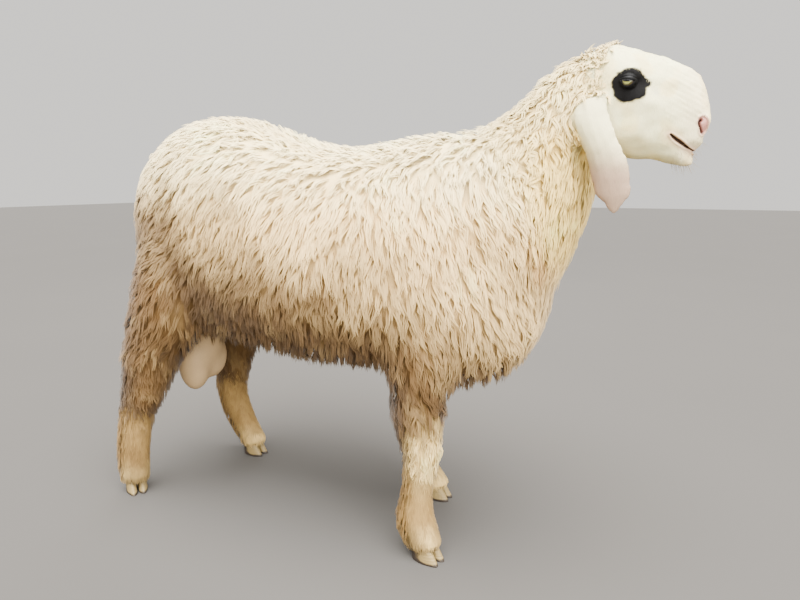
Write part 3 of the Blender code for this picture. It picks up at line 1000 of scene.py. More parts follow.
@dataclass
class Hide:
    """The skin's surface as numbers, for what grows on it.

    Args:
        points: the skin's points.
        triangles: its faces.
        shares: each point's share in each of REGIONS.
        depths: depth of the coat over each point.
        lies: which way the coat lies there.
        flat: where the points were before the folds were made.
    """

    points: Array
    triangles: Array
    shares: Array
    depths: Array
    lies: Array
    flat: Array

    CROWD = 1.7  # places tried for each one that the spacing has room for

    def __post_init__(self) -> None:
        """Works out areas, normals and a tree to look places up in."""
        self.normals = point_normals(self.points, self.triangles)
        edges = np.vstack([self.triangles[:, :2], self.triangles[:, 1:]])
        self.form = unit(spread(self.normals, edges, 20, 0.9))
        a, b, c = (self.points[self.triangles[:, i]] for i in range(3))
        self.areas = np.linalg.norm(np.cross(b - a, c - a), axis=1) / 2
        self.face_normals = unit(self.normals[self.triangles].sum(axis=1))
        self.face_lies = unit(self.lies[self.triangles].sum(axis=1))
        self.tree = BVHTree.FromPolygons(self.points.tolist(), self.triangles.tolist())

    def share(self, *regions: Region) -> Array:
        """Each point's share in some regions together."""
        return share_of(self.shares, *regions)

    def nearest(self, points: Array) -> tuple[Array, Array]:
        """The nearest place of the skin to each point, and its face."""
        found = [self.tree.find_nearest(point) for point in points.tolist()]
        return np.array([f[0] for f in found]), np.array([f[2] for f in found])

    def scatter(self, chance: Array, spacing: float, rng: np.random.Generator) -> Sites:
        """Picks places, about evenly spaced.

        Args:
            chance: for each point of the skin, how likely a place near it is, from 0 to 1.
            spacing: between neighbouring places.
            rng: the source of random numbers.
        """
        weight = self.areas * np.clip(chance, 0, 1)[self.triangles].mean(axis=1)
        count = int(weight.sum() / spacing**2 * self.CROWD)
        faces = rng.choice(len(weight), size=count, p=weight / weight.sum())
        first, second = rng.random((2, count))
        over = first + second > 1
        first[over], second[over] = 1 - first[over], 1 - second[over]
        parts = columns(1 - first - second, first, second)
        corners = self.triangles[faces]
        points = (self.points[corners] * parts[:, :, None]).sum(axis=1)
        cells = np.floor((points + rng.random(3)) / spacing).astype(np.int64)
        key = (cells[:, 0] * 4099 + cells[:, 1]) * 4099 + cells[:, 2]
        keep = np.sort(np.unique(key, return_index=True)[1])
        corners, parts = corners[keep], parts[keep][:, :, None]
        return Sites(
            points[keep],
            unit((self.normals[corners] * parts).sum(axis=1)),
            unit((self.form[corners] * parts).sum(axis=1)),
            unit((self.lies[corners] * parts).sum(axis=1)),
            (self.shares[corners] * parts).sum(axis=1),
            (self.depths[corners] * parts[:, :, 0]).sum(axis=1),
        )


@dataclass
class Lie:
    """Which way the coat lies, over the whole body."""

    # How far forward a lock leans for each metre down, along the trunk.
    ALONG = (-0.68, -0.50, -0.30, -0.10, 0.08, 0.20, 0.32, 0.45)
    LEAN = (-0.35, -0.55, -0.55, -0.38, -0.10, 0.25, 0.50, 0.45)

    def at(self, points: Array, normals: Array, shares: Array) -> Array:
        """A unit vector along the skin for each point."""
        x, y, _ = points.T
        down = columns(np.interp(x, self.ALONG, self.LEAN), 0.0, -1.0)
        high = ease(normals[:, 2], 0.55, 0.95)
        down[:, 0] -= 0.8 * high
        down[:, 1] += 0.35 * high * np.sign(y)
        face = columns(0.80 - 1.15 * ease(np.abs(normals[:, 1]), 0.5, 0.9), 0.0, -1.0)
        face[:, 0] -= 1.3 * ease(-normals[:, 2], 0.2, 0.8)
        leg = np.array([-0.06, 0.0, -1.0])
        by_region = {
            Region.TRUNK: down,
            Region.NECK: np.array([-0.30, 0.0, -1.0]),
            Region.HEAD: face,
            Region.EAR: np.array([0.10, 0.0, -1.0]),
            Region.UPPER_LEG: leg,
            Region.LOWER_LEG: leg,
            Region.TAIL: leg,
            Region.SCROTUM: leg,
        }
        total = sum(by_region[r] * shares[:, i : i + 1] for i, r in enumerate(REGIONS))
        swirl = columns(*(Ripple(0.16, 30 + i).at(points) for i in range(3)))
        woolly = share_of(shares, Region.TRUNK, Region.NECK)
        total = total + 0.16 * swirl * woolly[:, None]
        return self.along_skin(total, normals)

    @staticmethod
    def along_skin(vectors: Array, normals: Array) -> Array:
        """Vectors laid flat on the skin, at length 1."""
        return unit(vectors - normals * (vectors * normals).sum(axis=1, keepdims=True))


@dataclass
class Skin:
    """One skin for all of the body but the eyes and hooves, with its folds and lids.

    Args:
        nodes: the frame's objects by name.
        marks: places on the body.
        markings: its colours.
        voxel: size of its faces before the head is made finer.
        skin_over_ball: thickness of the lids.
        inset_steps: in how many steps the skin moves in by the coat's depth.
    """

    nodes: dict[str, bpy.types.Object]
    marks: Landmarks
    markings: Markings
    voxel: float = 0.0058
    skin_over_ball: float = 0.0017
    inset_steps: int = 6

    # How far round the eyes, and round the mouth and nostrils, each pass makes finer faces.
    FINER = ((0.038, 0.012), (0.0205, 0.006))

    # Depth of the coat in each region.
    DEPTHS = {
        Region.TRUNK: 0.017,
        Region.NECK: 0.016,
        Region.HEAD: 0.0016,
        Region.EAR: 0.0010,
        Region.UPPER_LEG: 0.011,
        Region.LOWER_LEG: 0.0045,
        Region.TAIL: 0.012,
        Region.SCROTUM: 0.0012,
    }

    def flesh(self) -> list[str]:
        """The nodes that the skin stands for."""
        return [name for region in REGIONS for name in region.value]

    def build(self) -> Hide:
        """Makes the skin and returns its surface as numbers."""
        self._read_solids()
        self.markings.creases = Creases(self.marks, self.solids)
        names = self.flesh() + ["eye_right", "eye_left"]
        forms = worked(
            bpy.data.meshes.new("forms"),
            lambda form: [form.from_mesh(self.nodes[name].data) for name in names],
        )
        mesh = fused(forms, self.voxel)
        self._make_finer(mesh, self._short_haired)
        for reaches in self.FINER:
            self._make_finer(mesh, lambda points, reaches=reaches: self._detailed(points, *reaches))
        points, triangles, edges = read_points(mesh), read_triangles(mesh), read_edges(mesh)
        points = self._onto_solids(points, triangles, edges)
        shares = self._shares(points, edges)
        depths = self._depths(points, shares)
        points = self._inset(points, triangles, edges, depths)
        surface = BVHTree.FromPolygons(points.tolist(), triangles.tolist())
        self.markings.creases = Creases(self.marks, surface)
        flat = points
        points = self._sculpted(points, triangles, edges)
        normals = point_normals(points, triangles)
        lies = Lie().at(points, normals, shares)
        lies = Lie.along_skin(spread(lies, edges, 6), normals)
        hide = Hide(points, triangles, shares, depths, lies, flat)
        move(mesh, points)
        hold(mesh, TINT, self._tint(hide))
        hold(mesh, BARE, self._bare(hide))
        piece = put("skin", mesh, SkinFinish().material(), "short_hair")
        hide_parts(*self.flesh())
        return hide

    def _read_solids(self) -> None:
        """Reads the solids of the flesh into one tree, with the region of each face."""
        points, faces, owner = [], [], []
        start = 0
        for i, region in enumerate(REGIONS):
            for name in region.value:
                mesh = self.nodes[name].data
                rows, triangles = read_points(mesh), read_triangles(mesh)
                points.append(rows)
                faces.append(triangles + start)
                owner.append(np.full(len(triangles), i))
                start += len(rows)
        self.owner = np.concatenate(owner)
        points = np.vstack(points)
        faces = np.vstack(faces)
        self.solids = BVHTree.FromPolygons(points.tolist(), faces.tolist())

    def _nearest_solid(self, points: Array) -> tuple[Array, Array]:
        """The nearest place on the solids to each point, and the region that it is in."""
        found = [self.solids.find_nearest(point) for point in points.tolist()]
        return np.array([f[0] for f in found]), self.owner[[f[2] for f in found]]

    def _short_haired(self, points: Array) -> Array:
        """Which points are on the head or the ears."""
        return within(self._nearest_solid(points)[1], Region.HEAD, Region.EAR)

    def _detailed(self, points: Array, round_eyes: float, round_creases: float) -> Array:
        """Which points are within some reach of the eyes, the mouth or the nostrils."""
        lips, wings = self.markings.creases.apart(points)
        near = (lips < round_creases) | (wings < round_creases + 0.006)
        return near | (self.marks.to_eyes(points) < round_eyes)

    @staticmethod
    def _make_finer(mesh: bpy.types.Mesh, wanted: Callable[[Array], Array]) -> None:
        """Halves the faces whose points are wanted."""
        chosen = wanted(read_points(mesh))

        def halve(form: bmesh.types.BMesh) -> None:
            """Cuts each edge between chosen points in two."""
            form.verts.ensure_lookup_table()
            edges = [e for e in form.edges if all(chosen[v.index] for v in e.verts)]
            bmesh.ops.subdivide_edges(form, edges=edges, cuts=1, use_grid_fill=True)

        worked(mesh, halve)

    def _onto_solids(self, points: Array, triangles: Array, edges: Array) -> Array:
        """Lays the points on the solids again, then takes the facets out of the surface."""
        creases = self.markings.creases
        ears = within(self._nearest_solid(points)[1], Region.EAR)
        for chosen, reach in ((np.ones(len(points), bool), 0.003), (ears, 0.005), (ears, 0.005)):
            out = points + point_normals(points, triangles) * reach
            target = self._nearest_solid(out[chosen])[0]
            share = np.full(len(target), 0.9)
            share[self.marks.to_eyes(target) < self.marks.eye_radius + 0.0012] = 0.0
            share[creases.apart(points[chosen])[1] < 0.016] = 0.0
            points[chosen] = mix(points[chosen], target, share)
            points = spread(points, edges, 1, 0.5 * spread(chosen.astype(float), edges, 2))
        for hand in SIDES.values():
            near = distance_to(creases.nostril(hand), points)
            points = spread(points, edges, 30, 0.9 * ease(near, 0.016, 0.010))
        for _ in range(4):
            points = spread(points, edges, 1, 0.60)
            points = spread(points, edges, 1, -0.60)
        crisp = spread(ears.astype(float), edges, 3)
        for _ in range(14):
            points = spread(points, edges, 1, 0.50 * crisp)
            points = spread(points, edges, 1, -0.52 * crisp)
        own = within(self._nearest_solid(points)[1], Region.SCROTUM)
        return spread(points, edges, 16, 0.9 * spread(own.astype(float), edges, 4))

    def _shares(self, points: Array, edges: Array) -> Array:
        """Each point's share in each region, soft where two of them meet."""
        own = self._nearest_solid(points)[1]
        return spread(np.eye(len(REGIONS))[own], edges, 9, 0.7)

    def _depths(self, points: Array, shares: Array) -> Array:
        """Depth of the coat over each point."""
        depths = shares @ np.array([self.DEPTHS[region] for region in REGIONS])
        x, z = points[:, 0], points[:, 2]
        poll = ease(x, self.marks.nape + 0.052, self.marks.nape + 0.024) * ease(z, 0.93, 0.96)
        head, lower = share_of(shares, Region.HEAD), share_of(shares, Region.LOWER_LEG)
        spines = [self._spine(self.nodes[name]) for name in Region.EAR.value]
        ear = np.minimum(*(distance_to(spine, points) for spine in spines))
        self.behind_ear = ease(ear, 0.060, 0.042) * share_of(shares, Region.NECK)
        depths = depths * (1 - 0.25 * self.behind_ear)
        return depths + 0.009 * poll * head + 0.006 * lower * ease(z, 0.16, 0.24)

    @staticmethod
    def _spine(node: bpy.types.Object) -> Array:
        """The middle of a node at some heights."""
        points = read_points(node.data)
        low, high = points[:, 2].min(), points[:, 2].max()
        step = (high - low) / 12
        spots = []
        for height in np.arange(low + step, high, step):
            band = points[np.abs(points[:, 2] - height) < step]
            if len(band):
                spots.append((band.min(axis=0) + band.max(axis=0)) / 2)
        return np.array(spots)

    def _inset(self, points: Array, triangles: Array, edges: Array, depths: Array) -> Array:
        """Moves the skin in by the coat's depth, a little at a time."""
        depths = depths + 0.007 * self.behind_ear
        soften = np.clip(depths / self.DEPTHS[Region.TRUNK], 0, 1) * 0.6
        for _ in range(self.inset_steps):
            points = points - point_normals(points, triangles) * depths[:, None] / self.inset_steps
            points = spread(points, edges, 2, soften)
        return points

    # Ridges and hollows of the face: height, breadth, and places forward, outward and up
    # from the eye.
    MODELLING = (
        (0.0018, 0.009, ((0.018, -0.004, -0.030), (0.045, -0.010, -0.040), (0.075, -0.018, -0.055))),
        (-0.0018, 0.011, ((0.030, 0.000, -0.004), (0.055, -0.012, -0.012), (0.080, -0.020, -0.022))),
        (0.0022, 0.012, ((-0.020, -0.006, -0.060), (0.005, -0.012, -0.082), (0.040, -0.020, -0.096))),
        (-0.0016, 0.010, ((-0.015, -0.006, -0.044), (0.015, -0.012, -0.062), (0.045, -0.020, -0.076))),
        (-0.0018, 0.008, ((0.052, -0.018, -0.072), (0.064, -0.020, -0.082), (0.070, -0.020, -0.094))),
        (0.0012, 0.006, ((-0.016, 0.004, 0.014), (0.000, 0.008, 0.017), (0.016, 0.004, 0.011))),
    )

    def _sculpted(self, points: Array, triangles: Array, edges: Array) -> Array:
        """Adds the head's folds, the mouth, the nostrils and the lids, and trims the ears."""
        lift = self._face_lift(points)
        x, y, z = points.T
        tip = ease(z, 0.785, 0.765) * ease(np.abs(y), 0.085, 0.095) * ease(x, 0.40, 0.44)
        raised = points + point_normals(points, triangles) * lift[:, None]
        points = spread(self._trimmed(raised, points), edges, 26, 0.8 * tip)
        for side, eye in self.marks.eyes.items():
            points = self._lidded(points, self.marks.lid(side))
            near = distance_from(eye, points)
            ring = ease(near, 0.0169, 0.0195) * ease(near, 0.033, 0.028)
            points = spread(points, edges, 40, 0.9 * ring)
        return points

    def _face_lift(self, points: Array) -> Array:
        """How far the face's ridges, wrinkles, mouth and nostrils stand out of its surface."""
        marks = self.marks
        x, y, z = points.T
        lift = np.zeros(len(points))
        for side in SIDES:
            for height, breadth, places in self.MODELLING:
                curve = curve_through([marks.from_eye(*place, side) for place in places])
                lift += height * bell(distance_to(curve, points), breadth)
        for hand in SIDES.values():
            lift += self._mouth_lift(points, hand) + self._nostril_lift(points, hand)
        front = ease(x, marks.nose[0] - 0.026, marks.nose[0] - 0.012)
        lift -= 0.0026 * bell(y, 0.0016) * front * ease(z, 0.900, 0.890) * ease(z, 0.862, 0.868)
        bridge = ease(x, 0.590, 0.620) * ease(z, 0.895, 0.915) * ease(x, 0.672, 0.660)
        lift += 0.00035 * bridge * np.sin((x * 0.5 + z * 0.87) * 2 * math.pi / 0.0085)
        face = ease(x, marks.nape + 0.02, marks.nape + 0.06) * ease(z, 0.80, 0.83)
        lift += 0.00050 * face * Ripple(0.028, 41).at(points)
        return lift

    @staticmethod
    def _trimmed(points: Array, at: Array) -> Array:
        """Moves the ears' edges, the left ear and the scrotum's end a little.

        Args:
            points: what is moved.
            at: where the points were before the face was raised.
        """
        x, y, z = at.T
        out = np.abs(y)
        edge = ease(x, 0.515, 0.545) * bell(z - 0.812, 0.055) * ease(z, 0.88, 0.86)
        points[:, 0] += 0.0045 * (edge * ease(out, 0.085, 0.095))
        behind = ease(out, 0.078, 0.088) * bell(z - 0.912, 0.028) * ease(x, 0.480, 0.450)
        points[:, 0] -= 0.009 * behind * ease(x, 0.40, 0.42)
        points[:, 0] += 0.014 * ease(y, 0.082, 0.092) * ease(z, 0.87, 0.79) * ease(x, 0.40, 0.44)
        low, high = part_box("scrotum")
        inside = ease(x, low.x - 0.03, low.x) * ease(x, high.x + 0.03, high.x)
        inside = inside * ease(z, low.z + 0.14, low.z + 0.02) * ease(y, 0.06, 0.0)
        points[:, 2] -= 0.016 * inside * ease(z, low.z - 0.03, low.z - 0.005)
        return points

    def _mouth_lift(self, points: Array, hand: float) -> Array:
        """A groove that is widest in its rear half, between two lips."""
        near, share = nearest_on(self.markings.creases.mouth(hand), points)
        width = self._mouth_width(share)
        lips = 0.0013 * bell(near - 2.2 * width, 0.0022) * ease(share, 0.98, 0.80)
        lips = lips - 0.0065 * bell(near, width)
        corner = self.markings.creases.mouth(hand)[0] + np.array([-0.006, 0.0, 0.005])
        return lips - 0.0014 * bell(distance_from(corner, points), 0.006)

    @staticmethod
    def _mouth_width(share: Array) -> Array:
        """Half the breadth of the gap between the lips, from the corner to the front."""
        return 0.0011 + 0.0013 * np.sin(math.pi * np.clip(share * 1.35 + 0.08, 0, 1))

    def _nostril_lift(self, points: Array, hand: float) -> Array:
        """A comma-shaped opening with a deep slit and a low rim."""
        wing = distance_to(self.markings.creases.nostril(hand), points)
        near, share = nearest_on(self.markings.creases.slit(hand), points)
        width = 0.0026 - 0.0011 * share
        hollow = 0.0011 * bell(wing - 0.0098, 0.0020) - 0.0022 * ease(wing, 0.0088, 0.0060)
        return hollow - 0.0060 * bell(near, width)

    def _lidded(self, points: Array, lid: Eyelid) -> Array:
        """Draws the skin over one eyeball, and opens it between the lids."""
        place = lid.local(points)
        reach = np.linalg.norm(place, axis=1)
        near = reach < 0.034
        ball = lid.radius + self.skin_over_ball
        away = np.clip((ball - reach) / 0.008 + 0.5, 0, 1)
        raised = reach + (ball - reach) * away + 0.0035 * away * (1 - away)
        lip = lid.inside(points)
        above = ease(place[:, 1], 0.001, 0.004)
        fold = above * bell(lip + 0.0042, 0.0009) + 0.5 * (1 - above) * bell(lip + 0.0050, 0.0010)
        raised = raised - 0.0008 * fold * (place[:, 2] > 0)
        raised = raised + 0.0003 * bell(lip + 0.0016, 0.0013) * (place[:, 2] > 0)
        open_to = lid.radius - 0.0030
        raised = raised + (open_to - raised) * ease(lip, -0.0002, 0.0007)
        moved = lid.centre + unit(points - lid.centre) * raised[:, None]
        front = near & (place[:, 2] > -0.004)
        return np.where(front[:, None], moved, points)

    def _tint(self, hide: Hide) -> Array:
        """The skin's colours, with painted shade under the wool, in the lips' crease and in the nostrils'
        slits.
        """
        hairy = hide.share(Region.HEAD, Region.EAR, Region.LOWER_LEG, Region.SCROTUM)
        # Painted shade: under the wool the skin takes the wool's colour, a little darker and warmer, for
        # the depth of the fleece.
        wool = self.markings.wool(hide.points, hide.shares) * (1.0, 0.97, 0.92)
        layers = [(self.markings.short(hide.flat, hide.shares), ease(hairy, 0.35, 0.65))]
        for hand in SIDES.values():
            near, share = nearest_on(self.markings.creases.mouth(hand), hide.flat)
            width = self._mouth_width(share) + 0.0004
            slit = distance_to(self.markings.creases.slit(hand), hide.flat)
            layers += [
                # painted shade in the crease between the lips
                (self.markings.lip_crease_shade, ease(near, width * 1.5, width * 0.8)),
                # painted shade in the nostril's slit
                (self.markings.nostril, bell(slit, 0.0028)),
            ]
        lids = ease(self.marks.to_eyes(hide.points), 0.0175, 0.0165)
        return painted(wool, *layers, (self.markings.lid, lids))

    def _bare(self, hide: Hide) -> Array:
        """For each point, how bare it is, how wet, and how far its hair lies forward."""
        lips, wings = self.markings.creases.apart(hide.flat)
        lids = self.marks.to_eyes(hide.points)
        bare = np.maximum(bell(lips, 0.006), ease(wings, 0.011, 0.008))
        bare = np.maximum(bare, ease(lids, 0.0164, 0.0154))
        bare = np.maximum(bare, hide.share(Region.SCROTUM) * 0.8)
        wet = np.maximum(0.7 * ease(wings, 0.009, 0.006), 0.10 * ease(lids, 0.0162, 0.0154))
        forward = hide.share(Region.HEAD) * ease(hide.lies[:, 0], 0.0, 0.4)
        return columns(np.clip(bare, 0, 1), wet, forward)


# ---------------------------------------------------------------- the coat


@dataclass
class Unwrap:
    """Where each place of the skin lies on the coat's map.

    The trunk and neck are rolled out round their length on the lower half. Above them lie
    tiles for the head, rolled out round its length, for both sides of each ear, and for
    each leg, rolled out round its height.
    """

    marks: Landmarks

    TRUNK_AXIS, HEAD_AXIS = 0.66, 0.935  # heights of the axes they are rolled out round

    def place(self, points: Array, normals: Array, shares: Array) -> Array:
        """A place on the map for each point."""
        x, y, z = points.T
        marks = self.marks
        own = shares.argmax(axis=1)
        trunk = columns(
            (x - marks.rear) / (marks.nose[0] - marks.rear) * 0.98,
            (np.arctan2(y, z - self.TRUNK_AXIS) / math.pi + 1) * 0.245,
        )
        head = columns(
            (x - marks.nape) / (marks.nose[0] - marks.nape) * 0.48,
            0.50 + (np.arctan2(y, z - self.HEAD_AXIS) / math.pi + 1) * 0.12,
        )
        tile = (y > 0) * 2 + (normals[:, 1] * np.sign(y) > 0)
        ear = columns(0.51 + tile * 0.12 + (x - 0.44) / 0.12 * 0.11, 0.50 + (z - 0.74))
        out = np.where(within(own, Region.HEAD)[:, None], head, trunk)
        out = np.where(within(own, Region.EAR)[:, None], ear, out)
        legs = within(own, Region.UPPER_LEG, Region.LOWER_LEG)
        for i, leg in enumerate(LEGS):
            away = points[:, :2] - leg.centre(z)
            turn = np.arctan2(away[:, 1], away[:, 0]) / math.pi + 1
            place = columns(i * 0.25 + turn * 0.12, 0.75 + z * 0.45)
            out = np.where((legs & leg.holds(points))[:, None], place, out)
        return np.clip(out, 0.002, 0.995)


@dataclass(frozen=True)
class Strand:
    """A tapered strand of mesh: rings of three points, a tip, and a closed root.

    Args:
        rings: how many rings it has.
        flat: its thickness for its breadth.
    """

    rings: int = 4
    flat: float = 0.55

    CORNERS = (math.radians(90), math.radians(210), math.radians(330))

    def layout(self) -> tuple[Array, Array]:
        """The faces of one strand, and each corner's place across and along its patch."""
        faces = [[(0, 0.0, -0.05), (2, 0.67, -0.05), (1, 0.33, -0.1)]]
        for ring in range(self.rings):
            for i in range(3):
                first = (ring * 3 + i, i / 3, ring / self.rings)
                second = (ring * 3 + (i + 1) % 3, (i + 1) / 3, ring / self.rings)
                if ring == self.rings - 1:
                    faces.append([first, second, (self.rings * 3, (i + 0.5) / 3, 1.0)])
                    continue
                third, fourth = ((p[0] + 3, p[1], (ring + 1) / self.rings) for p in (second, first))
                faces += [[first, second, third], [first, third, fourth]]
        rows = np.array(faces)
        return rows[:, :, 0].astype(int), rows[:, :, 1:]

    def points(self, middle: Array, sides: Array, fronts: Array, thick: Array) -> tuple[Array, Array]:
        """The points of strands and their outward directions.

        Args:
            middle: each strand's middle line, from root to tip.
            sides: which way is across it at each place.
            fronts: which way is outwards.
            thick: half its breadth at each place.
        """
        count = len(middle)
        rings, ways = [], []
        for turn in self.CORNERS:
            way = sides[:, :-1] * math.cos(turn) + fronts[:, :-1] * math.sin(turn) * self.flat
            rings.append(middle[:, :-1] + way * thick[:, :-1, None])
            ways.append(unit(way))
        body = np.stack(rings, axis=2).reshape(count, -1, 3)
        out = np.stack(ways, axis=2).reshape(count, -1, 3)
        ends = middle[:, -1:], fronts[:, -1:]
        return np.concatenate([body, ends[0]], axis=1), np.concatenate([out, ends[1]], axis=1)

    def mesh(
        self,
        name: str,
        points: Array,
        facing: Array,
        roots: Array,
        tint: Array,
        luck: Array,
        rng: np.random.Generator,
    ) -> bpy.types.Mesh:
        """A mesh of strands, with what its finish needs.

        Args:
            name: the mesh's name.
            points: of each strand.
            facing: which way the points are shaded as facing.
            roots: each root's place on the coat's map.
            tint: each strand's colour.
            luck: a number from 0 to 1 for each strand, the same in a lock.
            rng: the source of random numbers.
        """
        pattern, patch = self.layout()
        a, b, c = (points[:200, pattern[:, i]] - points[:200, :1] for i in range(3))
        if (np.cross(a, b) * c).sum() < 0:
            pattern, patch = pattern[:, ::-1], patch[:, ::-1]
        starts = np.arange(len(points)) * points.shape[1]
        mesh = mesh_of(name, points.reshape(-1, 3), (pattern + starts[:, None, None]).reshape(-1, 3))
        mesh.normals_split_custom_set_from_vertices(unit(facing).reshape(-1, 3))
        places = roots[:, None, None] + (patch - (0.5, 0.0)) * PATCH
        layer = mesh.uv_layers.new(name=BAKE_MAP)
        layer.data.foreach_set("uv", np.clip(places, 0, 1).astype(np.float32).ravel())
        hold(mesh, TINT, np.repeat(tint, points.shape[1], axis=0))
        along = np.append(np.repeat(np.arange(self.rings) / self.rings, 3), 1.0)
        across = np.append(np.tile([0.0, 0.5, 1.0], self.rings), 0.5)
        across = rng.random(len(points))[:, None] * 37.0 + across
        rows = [np.tile(along, len(points)), np.repeat(luck, points.shape[1]), across.ravel()]
        hold(mesh, STRAND, columns(*rows))
        return mesh


@dataclass(frozen=True)
class Coat:
    """One piece of the coat: locks of strands that grow on part of the skin.

    Args:
        name: the piece's name.
        spacing: between the roots of neighbouring locks.
        length: of a lock.
        hairs: in a lock; each is one strand.
        radius: of a strand near its root.
        lock: radius of a lock near its root.
        rise: the share of the coat's depth that the tips reach.
        uneven: how far locks differ in height.
        crook: how soon a lock turns to lie along the body.
        gather: how far a lock's strands draw together at its tip.
        wave: how far a lock swings from side to side.
        turns: how many times it swings.
        coil: how far its swing is round and not flat.
        hang: how far it hangs straight down and doesn't follow the skin.
        stray: how far its direction is left to chance.
        strand: the form of its strands.
        short: whether it takes the colours of short hair.
        least: the least height of a tip, where the coat is thin.
        bend: how far its shading follows the body and not the strand.
        tone: what the markings' colours are multiplied by.
    """

    name: str
    spacing: float
    length: float
    hairs: int = 7
    radius: float = 0.00135
    lock: float = 0.0074
    rise: float = 0.95
    uneven: float = 0.30
    crook: float = 2.6
    gather: float = 0.6
    wave: float = 0.0025
    turns: float = 1.1
    coil: float = 0.3
    hang: float = 0.0
    stray: float = 0.26
    strand: Strand = Strand()
    short: bool = False
    least: float = 0.0
    bend: float = 0.8
    tone: Colour = (1.0, 1.0, 1.0)

    ROOTED = 0.0015  # how deep the roots stand in the skin

    def grow(
        self,
        hide: Hide,
        chance: Array,
        markings: Markings,
        unwrap: Unwrap,
        material: bpy.types.Material,
        slot: str,
        seed: int,
    ) -> bpy.types.Object:
        """Makes the piece.

        Args:
            hide: the skin that it grows on.
            chance: for each point of the skin, how likely a lock is there, from 0 to 1.
            markings: the animal's colours.
            unwrap: the coat's map.
            material: its finish.
            slot: handed on to put.
            seed: of its random numbers.

        Returns:
            The piece.
        """
        rng = np.random.default_rng(seed)
        sites = hide.scatter(chance, self.spacing, rng)
        lines, fronts, sides = self._lines(hide, sites, rng)
        points, out = self._strands(lines, fronts, sides, rng)
        roots = unwrap.place(sites.points, sites.normals, sites.shares)
        agree = ease((fronts.mean(axis=1) * sites.form).sum(axis=1), 0.15, 0.65)
        bend = np.repeat(self.bend * agree, self.hairs)[:, None, None]
        form = np.repeat(sites.form, self.hairs, axis=0)[:, None]
        paint = markings.short if self.short else markings.wool
        tint = np.repeat(paint(sites.points, sites.shares) * self.tone, self.hairs, axis=0)
        mesh = self.strand.mesh(
            self.name,
            points,
            out + (form - out) * bend,
            np.repeat(roots, self.hairs, axis=0),
            np.clip(tint * rng.normal(1.0, 0.03, (len(points), 1)), 0, 1),
            np.repeat(rng.random(len(sites.points)), self.hairs),
            rng,
        )
        return put(self.name, mesh, material, slot)

    def _lines(
        self, hide: Hide, sites: Sites, rng: np.random.Generator
    ) -> tuple[Array, Array, Array]:
        """The middle line of each lock.

        Returns:
            Its points from root to tip, and outward and sideways directions at each.
        """
        count, rings = len(sites.points), self.strand.rings
        length = self.length * rng.uniform(0.75, 1.15, count)
        height = np.maximum(sites.depths * self.rise, self.least)
        height = height * rng.uniform(1.05 - self.uneven, 1.05, count)
        travel = np.sqrt(np.maximum(length**2 - height**2, (0.30 * length) ** 2)) / rings
        loose = rng.normal(size=(count, 3)) * self.stray
        heading = Lie.along_skin(sites.lies + loose, sites.normals)
        here = sites.points
        spots, normals = [here], [sites.normals]
        for _ in range(rings):
            here, faces = hide.nearest(here + heading * travel[:, None])
            normal = hide.face_normals[faces]
            heading = Lie.along_skin(heading * 0.75 + hide.face_lies[faces] * 0.25, normal)
            spots.append(here)
            normals.append(normal)
        spots, normals = np.stack(spots, axis=1), np.stack(normals, axis=1)
        along = np.linspace(0, 1, rings + 1)[None, :, None]
        lift = 1 - (1 - along) ** self.crook - 0.10 * along**4
        lift = height[:, None, None] * lift - self.ROOTED * (1 - along) ** 4
        lines = spots + normals * lift
        if self.hang:
            fall = np.array([0.0, 0.0, -1.0]) * length[:, None, None] * along
            droop = sites.points[:, None] + sites.normals[:, None] * lift * 0.5 + fall
            lines = lines + (droop - lines) * self.hang * along
        ahead = unit(np.gradient(lines, axis=1))
        sides = unit(np.cross(normals, ahead))
        fronts = unit(np.cross(ahead, sides))
        phase = rng.uniform(0, 2 * math.pi, (count, 1, 1))
        turns = self.turns * rng.uniform(0.8, 1.25, (count, 1, 1))
        swing = self.wave * rng.uniform(0.5, 1.3, (count, 1, 1)) * along**0.8
        angle = 2 * math.pi * turns * along + phase
        lines = lines + sides * swing * np.sin(angle) + fronts * swing * self.coil * np.cos(angle)
        return lines, fronts, sides

    def _strands(
        self, lines: Array, fronts: Array, sides: Array, rng: np.random.Generator
    ) -> tuple[Array, Array]:
        """The points of every strand of every lock, with their outward directions."""
        lines, fronts, sides = (np.repeat(a, self.hairs, axis=0) for a in (lines, fronts, sides))
        count = len(lines)
        along = np.linspace(0, 1, self.strand.rings + 1)
        angle = rng.uniform(0, 2 * math.pi, (count, 1, 1))
        out = self.lock * np.sqrt(rng.random((count, 1, 1)))
        near = (1 - self.gather * along**1.2)[None, :, None]
        apart = (sides * np.cos(angle) + fronts * np.sin(angle) * 0.35) * out * near
        own = rng.normal(size=(count, 1, 3)) * 0.25 * self.lock * (along**1.5)[None, :, None]
        shorter = rng.uniform(0.80, 1.0, (count, 1, 1))
        middle = lines[:, :1] + (lines - lines[:, :1]) * shorter + apart + own
        taper = (0.75 + 0.60 * along) * (1 - along**2.2) ** 0.9
        thick = self.radius * rng.uniform(0.55, 1.4, (count, 1)) * taper
        return self.strand.points(middle, sides, fronts, thick)


